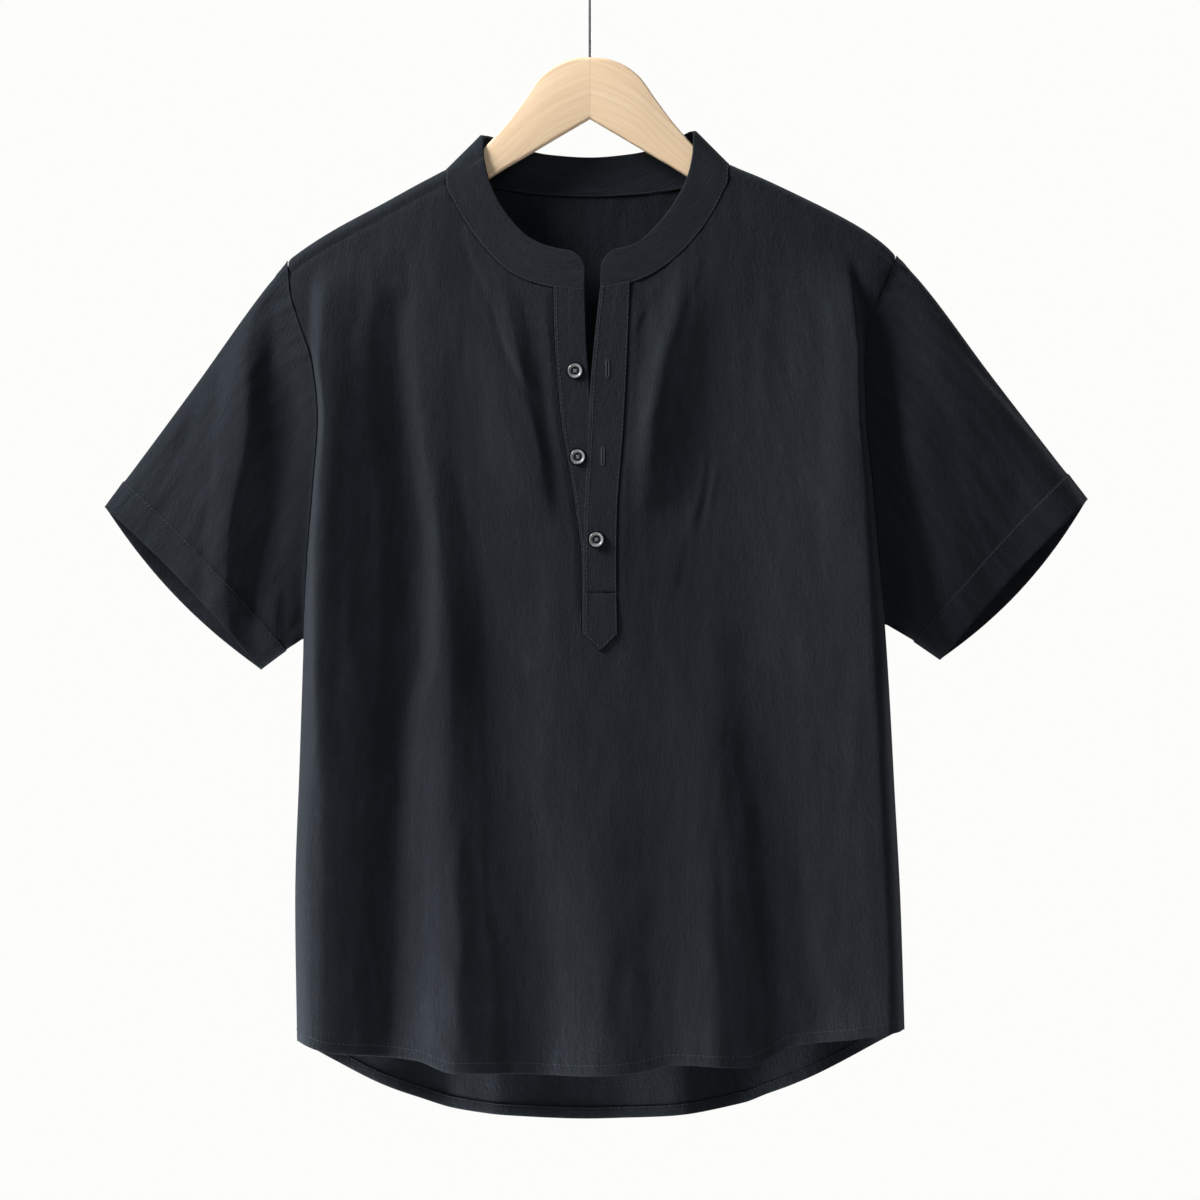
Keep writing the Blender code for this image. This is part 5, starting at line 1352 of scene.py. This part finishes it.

# %% [markdown]
# ## The buttons
# Small dark turned buttons: a raised rim, a dished middle and four holes, sewn on with crossed thread.
# The profile is spun round the button's own axis, and the holes are left as real openings with walls.

# %% Dark button, with painted highlights on its rim and in its middle
button_paint_with_highlights, paint = new_material("dark_button_painted_highlights")
cloud = paint.noise(paint.place(), (260.0, 260.0, 900.0), 4.0, 0.6)
out_from_middle = paint.add("SeparateXYZ", {0: paint.uv("turned")})
uneven = paint.sum("ADD", out_from_middle, paint.sum("MULTIPLY", cloud, 0.08))
# Painted highlights: the light band on the rim (0.64 to 0.88) and the lighter middle stand for the glint
# of the white room; between them and at the edge the button is its own near-black.
painted_button_highlights = paint.ramp(uneven, (0.26, (0.08, 0.082, 0.09)), (0.36, (0.010, 0.011, 0.013)),
                          (0.54, (0.012, 0.013, 0.015)), (0.64, (0.24, 0.245, 0.26)),
                          (0.88, (0.25, 0.255, 0.27)), (0.97, (0.012, 0.013, 0.015)))
scratches = paint.bump(paint.noise(paint.place(), (2600.0, 500.0, 2600.0)), 0.00003, 0.5)
finished(paint, painted_button_highlights, 0.3, normal=scratches, Coat_Weight=0.25, Coat_Roughness=0.15)
# The thread's light grey is a painted glint: it lights the middle of each button.
button_thread, paint = new_material("button_thread_painted_glint")
finished(paint, (0.2, 0.205, 0.22), 0.5)

# %% A turned button with four holes
BUTTON_RADIUS = 6.0
BUTTON_STEPS, EYE_STEPS = 64, 16
EYE_RADIUS, EYE_OFFSET = 0.75, 1.45
BUTTON_FACE = [           # radius and height, from the dished middle over the rim to the foot
    (3.1, 1.15), (3.5, 1.25), (3.9, 1.5), (4.2, 1.9), (4.5, 2.25), (4.85, 2.4), (5.2, 2.36),
    (5.55, 2.12), (5.85, 1.72), (5.98, 1.3), (5.9, 0.9), (5.6, 0.45), (5.1, 0.12), (4.4, 0.02)]


def made_button(name, node):
    """A button in the place and at the height of its CAD node."""
    x, back, drop = button_place(node)
    centre = Vector((x, back, -drop - NECK_BELOW_HOOK)) * MM
    shape = bmesh.new()

    def circle(across, up, radius, height, count):
        turns = np.linspace(0.0, 2.0 * math.pi, count, endpoint=False)
        spots = [(across + radius * math.cos(a), -height, up + radius * math.sin(a)) for a in turns]
        return [shape.verts.new([value * MM for value in spot]) for spot in spots]

    def wall(inner, outer):
        for k in range(len(inner)):
            n = (k + 1) % len(inner)
            shape.faces.new([inner[k], inner[n], outer[n], outer[k]])

    rings = [circle(0.0, 0.0, radius, height, BUTTON_STEPS) for radius, height in BUTTON_FACE]
    for inner, outer in zip(rings, rings[1:]):
        wall(inner, outer)
    floors = []
    for rim, height in ((rings[0], BUTTON_FACE[0][1]), (rings[-1], BUTTON_FACE[-1][1])):
        eyes = [circle(ex * EYE_OFFSET, ez * EYE_OFFSET, EYE_RADIUS, height, EYE_STEPS)
                for ex, ez in ((1, 1), (-1, 1), (-1, -1), (1, -1))]
        edges = [shape.edges.get((a, b)) for a, b in zip(rim, rim[1:] + rim[:1])]
        edges += [shape.edges.new((a, b)) for eye in eyes for a, b in zip(eye, eye[1:] + eye[:1])]
        bmesh.ops.triangle_fill(shape, use_beauty=True, edges=edges, normal=BACKWARDS)
        floors.append(eyes)
    for front_eye, back_eye in zip(*floors):
        wall(front_eye, back_eye)
    bmesh.ops.recalc_face_normals(shape, faces=shape.faces)
    bmesh.ops.translate(shape, verts=shape.verts, vec=centre)
    mesh = bpy.data.meshes.new(name)
    shape.to_mesh(mesh)
    shape.free()
    mesh.shade_smooth()
    mesh.set_sharp_from_angle(angle=math.radians(50.0))
    layer = mesh.uv_layers.new(name="turned")
    for loop in mesh.loops:
        spot = mesh.vertices[loop.vertex_index].co - centre
        layer.data[loop.index].uv = (math.hypot(spot.x, spot.z) / BUTTON_RADIUS / MM, 0.0)
    return added(name, mesh, button_paint_with_highlights)


def button_threads(name, node):
    """Thread that crosses over the middle of a button, from hole to hole."""
    x, back, drop = button_place(node)
    part = np.linspace(-1.0, 1.0, 9)
    height = BUTTON_FACE[0][1] + 0.35 - 1.3 * np.abs(part) ** 6
    across = EYE_OFFSET * part
    paths = np.array([np.stack([x + across - aside * 0.7, back - height - (0.15 if tilt < 0 else 0.0),
                                drop - tilt * across - tilt * aside * 0.7], -1)
                      for tilt in (1, -1) for aside in (-0.28, 0.0, 0.28)])
    return meshed(name, *tubes(paths, np.broadcast_to(BACKWARDS, paths.shape), 0.17), button_thread)


buttons = [made_button(node + "_turned", node) for node in BUTTON_NODES]
crosses = [button_threads(node + "_thread", node) for node in BUTTON_NODES]
print("buttons:", [len(button.data.polygons) for button in buttons])

# %% [markdown]
# ## The hanger
# A flat beech board in two halves, glued where they meet under the hook. Its edges are rounded, and
# the grain runs out along each arm, so the two halves' grain meets at an angle in the middle.

# %% The board as rings along its length
WOOD_THICKNESS = 12.0
WOOD_EDGE = 2.4
WOOD_END, WOOD_TIP = 214.0, 3.0
BOARD = dict(
    out=(0, 12, 24, 37, 51, 65, 83, 107, 150, 190, 206, 214),
    top=(-86, -85, -81, -72, -53, -34.5, -15, 3.2, 24.8, 46.5, 56, 62.5),
    bottom=(-39, -32, -25, -17.3, -9, -0.8, 10.8, 26, 48.5, 67, 74.5, 75.5))


def board_rows():
    """One ring round the board for each place along it, from the left tip to the right."""
    outs = np.concatenate([np.linspace(0.0, 110.0, 110), np.linspace(112.0, WOOD_END, 60)])
    tops, bottoms = smooth(BOARD, "out", "top", outs), smooth(BOARD, "out", "bottom", outs)
    turn = np.radians(np.arange(10, 91, 10))
    middle, half = (tops[-1] + bottoms[-1]) / 2, (bottoms[-1] - tops[-1]) / 2
    tip = half * np.maximum(np.cos(turn), 0.02)
    outs = np.concatenate([outs, WOOD_END + WOOD_TIP * np.sin(turn)])
    tops, bottoms = np.concatenate([tops, middle - tip]), np.concatenate([bottoms, middle + tip])
    corner = np.radians(np.arange(0, 91, 15))
    arm = []
    for top, bottom in zip(tops, bottoms):
        tall, deep = (bottom - top) / 2, WOOD_THICKNESS / 2
        edge = min(WOOD_EDGE, tall * 0.95)
        quarter = np.stack([deep - edge + edge * np.cos(corner), tall - edge + edge * np.sin(corner)], -1)
        around = np.concatenate([quarter, quarter[::-1] * [-1, 1], -quarter, quarter[::-1] * [1, -1]])
        arm.append(around + [0.0, (top + bottom) / 2])
    arm = np.array(arm)
    across = np.broadcast_to(outs[:, None, None], arm.shape[:2] + (1,))
    right = np.concatenate([across, arm], axis=-1)
    return np.concatenate([right[:0:-1] * [-1, 1, 1], right])


board_all = board_rows()
centre_line = board_all.mean(axis=1)
grain_at = lengths(centre_line)
grain_at = np.broadcast_to((grain_at - grain_at[len(grain_at) // 2])[:, None], board_all.shape[:2])
grain_uv = np.stack([grain_at, board_all[..., 2] - centre_line[:, None, 2] + 0.7 * board_all[..., 1]], -1)
grain_uv = np.concatenate([grain_uv, grain_uv[:, :1]], axis=1) * MM

# %% Pale beech
wood, paint = new_material("pale_beech")
rings = paint.noise(paint.uv(), (9.0, 260.0, 1.0), 4.0, 0.55)
pores = paint.noise(paint.uv(), (130.0, 2600.0, 1.0), 2.0, 0.6)
pale = paint.ramp(paint.mixed((rings, 0.75), (pores, 0.25)), (0.34, (0.80, 0.58, 0.37)),
                  (0.5, (0.88, 0.66, 0.44)), (0.66, (0.92, 0.73, 0.51)))
away = paint.sum("ABSOLUTE", paint.add("SeparateXYZ", {0: paint.place()}))
joint = paint.sum("MULTIPLY", paint.sum("LESS_THAN", away, 0.0003), 0.3)
mix = paint.nodes.new("ShaderNodeMix")
mix.data_type = "RGBA"
paint.feed(mix, {0: joint, 6: pale, 7: (0.5, 0.32, 0.18, 1.0)})
finished(paint, mix.outputs[2], 0.42, 0.4, paint.bump(pores, 0.00006, 0.6))
board = sheet_of("hanger_board", board_all, grain_uv, wood, ring=True)

# %% [markdown]
# ## The hook
# One length of polished wire: a straight stem, a bend to the side, and a round bow. A curve with a round
# bevel is wire already, and it stays exactly on the CAD model's line.

# %% The hook as a curve
WIRE_RADIUS = 1.1
HOOK_RADIUS = 20.0
STEM_TOP, STEM_FOOT = -45.0, -111.0    # the foot stands in the wood


def hook_points():
    """The wire's middle line, as x and z in millimetres."""
    centre = WIRE_RADIUS - HOOK_RADIUS
    points = [(0.0, z) for z in np.linspace(STEM_FOOT, STEM_TOP, 12)]
    parts = np.linspace(0.0, 1.0, 40)[1:-1]
    points += [(HOOK_RADIUS * ease(part), STEM_TOP + (centre - STEM_TOP) * part) for part in parts]
    turns = np.radians(np.arange(0, 211, 4))
    return points + [(HOOK_RADIUS * math.cos(a), centre + HOOK_RADIUS * math.sin(a)) for a in turns]


wire_curve = bpy.data.curves.new("hook_wire", "CURVE")
wire_curve.dimensions = "3D"
wire_curve.bevel_depth = WIRE_RADIUS * MM
wire_curve.bevel_resolution = 6
wire_curve.use_fill_caps = True
line = wire_curve.splines.new("POLY")
spots = hook_points()
line.points.add(len(spots) - 1)
for spot, (x, z) in zip(line.points, spots):
    spot.co = (x * MM, 0.0, z * MM, 1.0)
steel, paint = new_material("polished_wire")
drawn = paint.noise(paint.place(), (900.0, 900.0, 60.0))
finished(paint, paint.ramp(drawn, (0.3, (0.6, 0.6, 0.61)), (0.7, (0.8, 0.8, 0.81))), 0.22,
         normal=paint.bump(drawn, 0.00002, 0.4), Metallic=1.0)
hook = added("hook_wire", wire_curve, steel)

# %% [markdown]
# ## Which piece stands for which CAD node
# The CAD solids stay in the physics model. Each piece here takes the place of one of them and hangs
# on the same body. Every sheet says how large it was cut.

# %% Pieces and nodes
cloth_pieces = {
    "front": front, "back": back, "sleeve_left": sleeves["left"], "sleeve_right": sleeves["right"],
    "collar_band": band, "placket_under": placket_under, "placket_over": placket_over}
for node, piece in cloth_pieces.items():
    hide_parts(node)
for node, button in zip(BUTTON_NODES, buttons):
    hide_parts(node)
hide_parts("hanger_body")
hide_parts("hanger_hook")
sewing = [hem_stitches, cuff_stitches, band_stitches, placket_stitches, painted_seam_shadows] + holes + crosses
for piece in list(cloth_pieces.values()) + buttons + [board, hook] + sewing:
    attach(piece, "root")

# %% How large each sheet was cut
for name, piece in cloth_pieces.items():
    print("%s: %.4f square metres of surface" % (name, sum(face.area for face in piece.data.polygons)))

# %% [markdown]
# ## Light, floor and camera
# The shirt hangs in front of a bright white room, lit by one large soft light from the upper left. The
# light comes in low across the cloth, because light along the camera's own direction would flatten
# every fold of a black shirt. A weak fill stands in front, a small light below reaches the inside of
# the tail, and one behind the right shoulder lifts that edge off the dark.

# %% Floor, world and lights
FLOOR_Z = -1.30
FLOOR_RADIUS = 1.5
ROOM_WHITE = (0.98, 0.98, 0.965, 1.0)
ROOM_GLOW = 0.07

shape = bmesh.new()
bmesh.ops.create_circle(shape, cap_ends=True, segments=96, radius=FLOOR_RADIUS)
bmesh.ops.translate(shape, verts=shape.verts, vec=(0.0, 0.0, FLOOR_Z))
mesh = bpy.data.meshes.new("floor")
shape.to_mesh(mesh)
shape.free()
pale_floor, paint = new_material("pale_floor")
finished(paint, (0.85, 0.85, 0.84), 0.8)
added("floor", mesh, pale_floor)

world = bpy.data.worlds.new("white_room")
bpy.context.scene.world = world
paint = Paint(world)
paint.nodes.clear()
seen = paint.add("Background", {"Color": ROOM_WHITE})
glow = paint.add("Background", {"Color": (0.94, 0.97, 1.0, 1.0), "Strength": ROOM_GLOW})
from_camera = paint.add("LightPath", {})
paint.add("OutputWorld", {0: paint.add("MixShader", {0: from_camera, 1: glow, 2: seen})})


def softbox(name, place, target, size, power, colour):
    """A large square light that looks at a point."""
    data = bpy.data.lights.new(name, "AREA")
    data.shape = "SQUARE"
    data.size, data.energy, data.color = size, power, colour
    light = added(name, data)
    light.location = place
    light.rotation_euler = (Vector(target) - Vector(place)).to_track_quat("-Z", "Y").to_euler()


softbox("key_light", (-1.83, -0.66, 1.07), (0.0, 0.0, -0.5), 0.8, 120.0, (1.0, 0.99, 0.97))
softbox("fill_light", (0.5, -2.2, 1.0), (0.0, 0.0, -0.5), 1.2, 9.0, (0.95, 0.97, 1.0))
softbox("low_light", (-0.42, -0.05, -1.22), (0.0, 0.03, -0.88), 0.2, 6.0, (1.0, 1.0, 1.0))
softbox("rim_light", (1.4, 1.0, 0.5), (0.0, 0.0, -0.45), 1.2, 16.0, (1.0, 1.0, 1.0))

# %% Camera at the photograph's angle
CAMERA_PLACE = (0.00765, -5.0, -0.50795)
LENS = 196.07
camera_data = bpy.data.cameras.new("camera")
camera_data.lens = LENS
camera_data.sensor_width = 36.0
camera = added("camera", camera_data)
camera.location = CAMERA_PLACE
camera.rotation_euler = (math.radians(90.0), 0.0, 0.0)
bpy.context.scene.camera = camera
bpy.context.scene.view_settings.view_transform = "Standard"
bpy.context.scene.view_settings.look = "None"
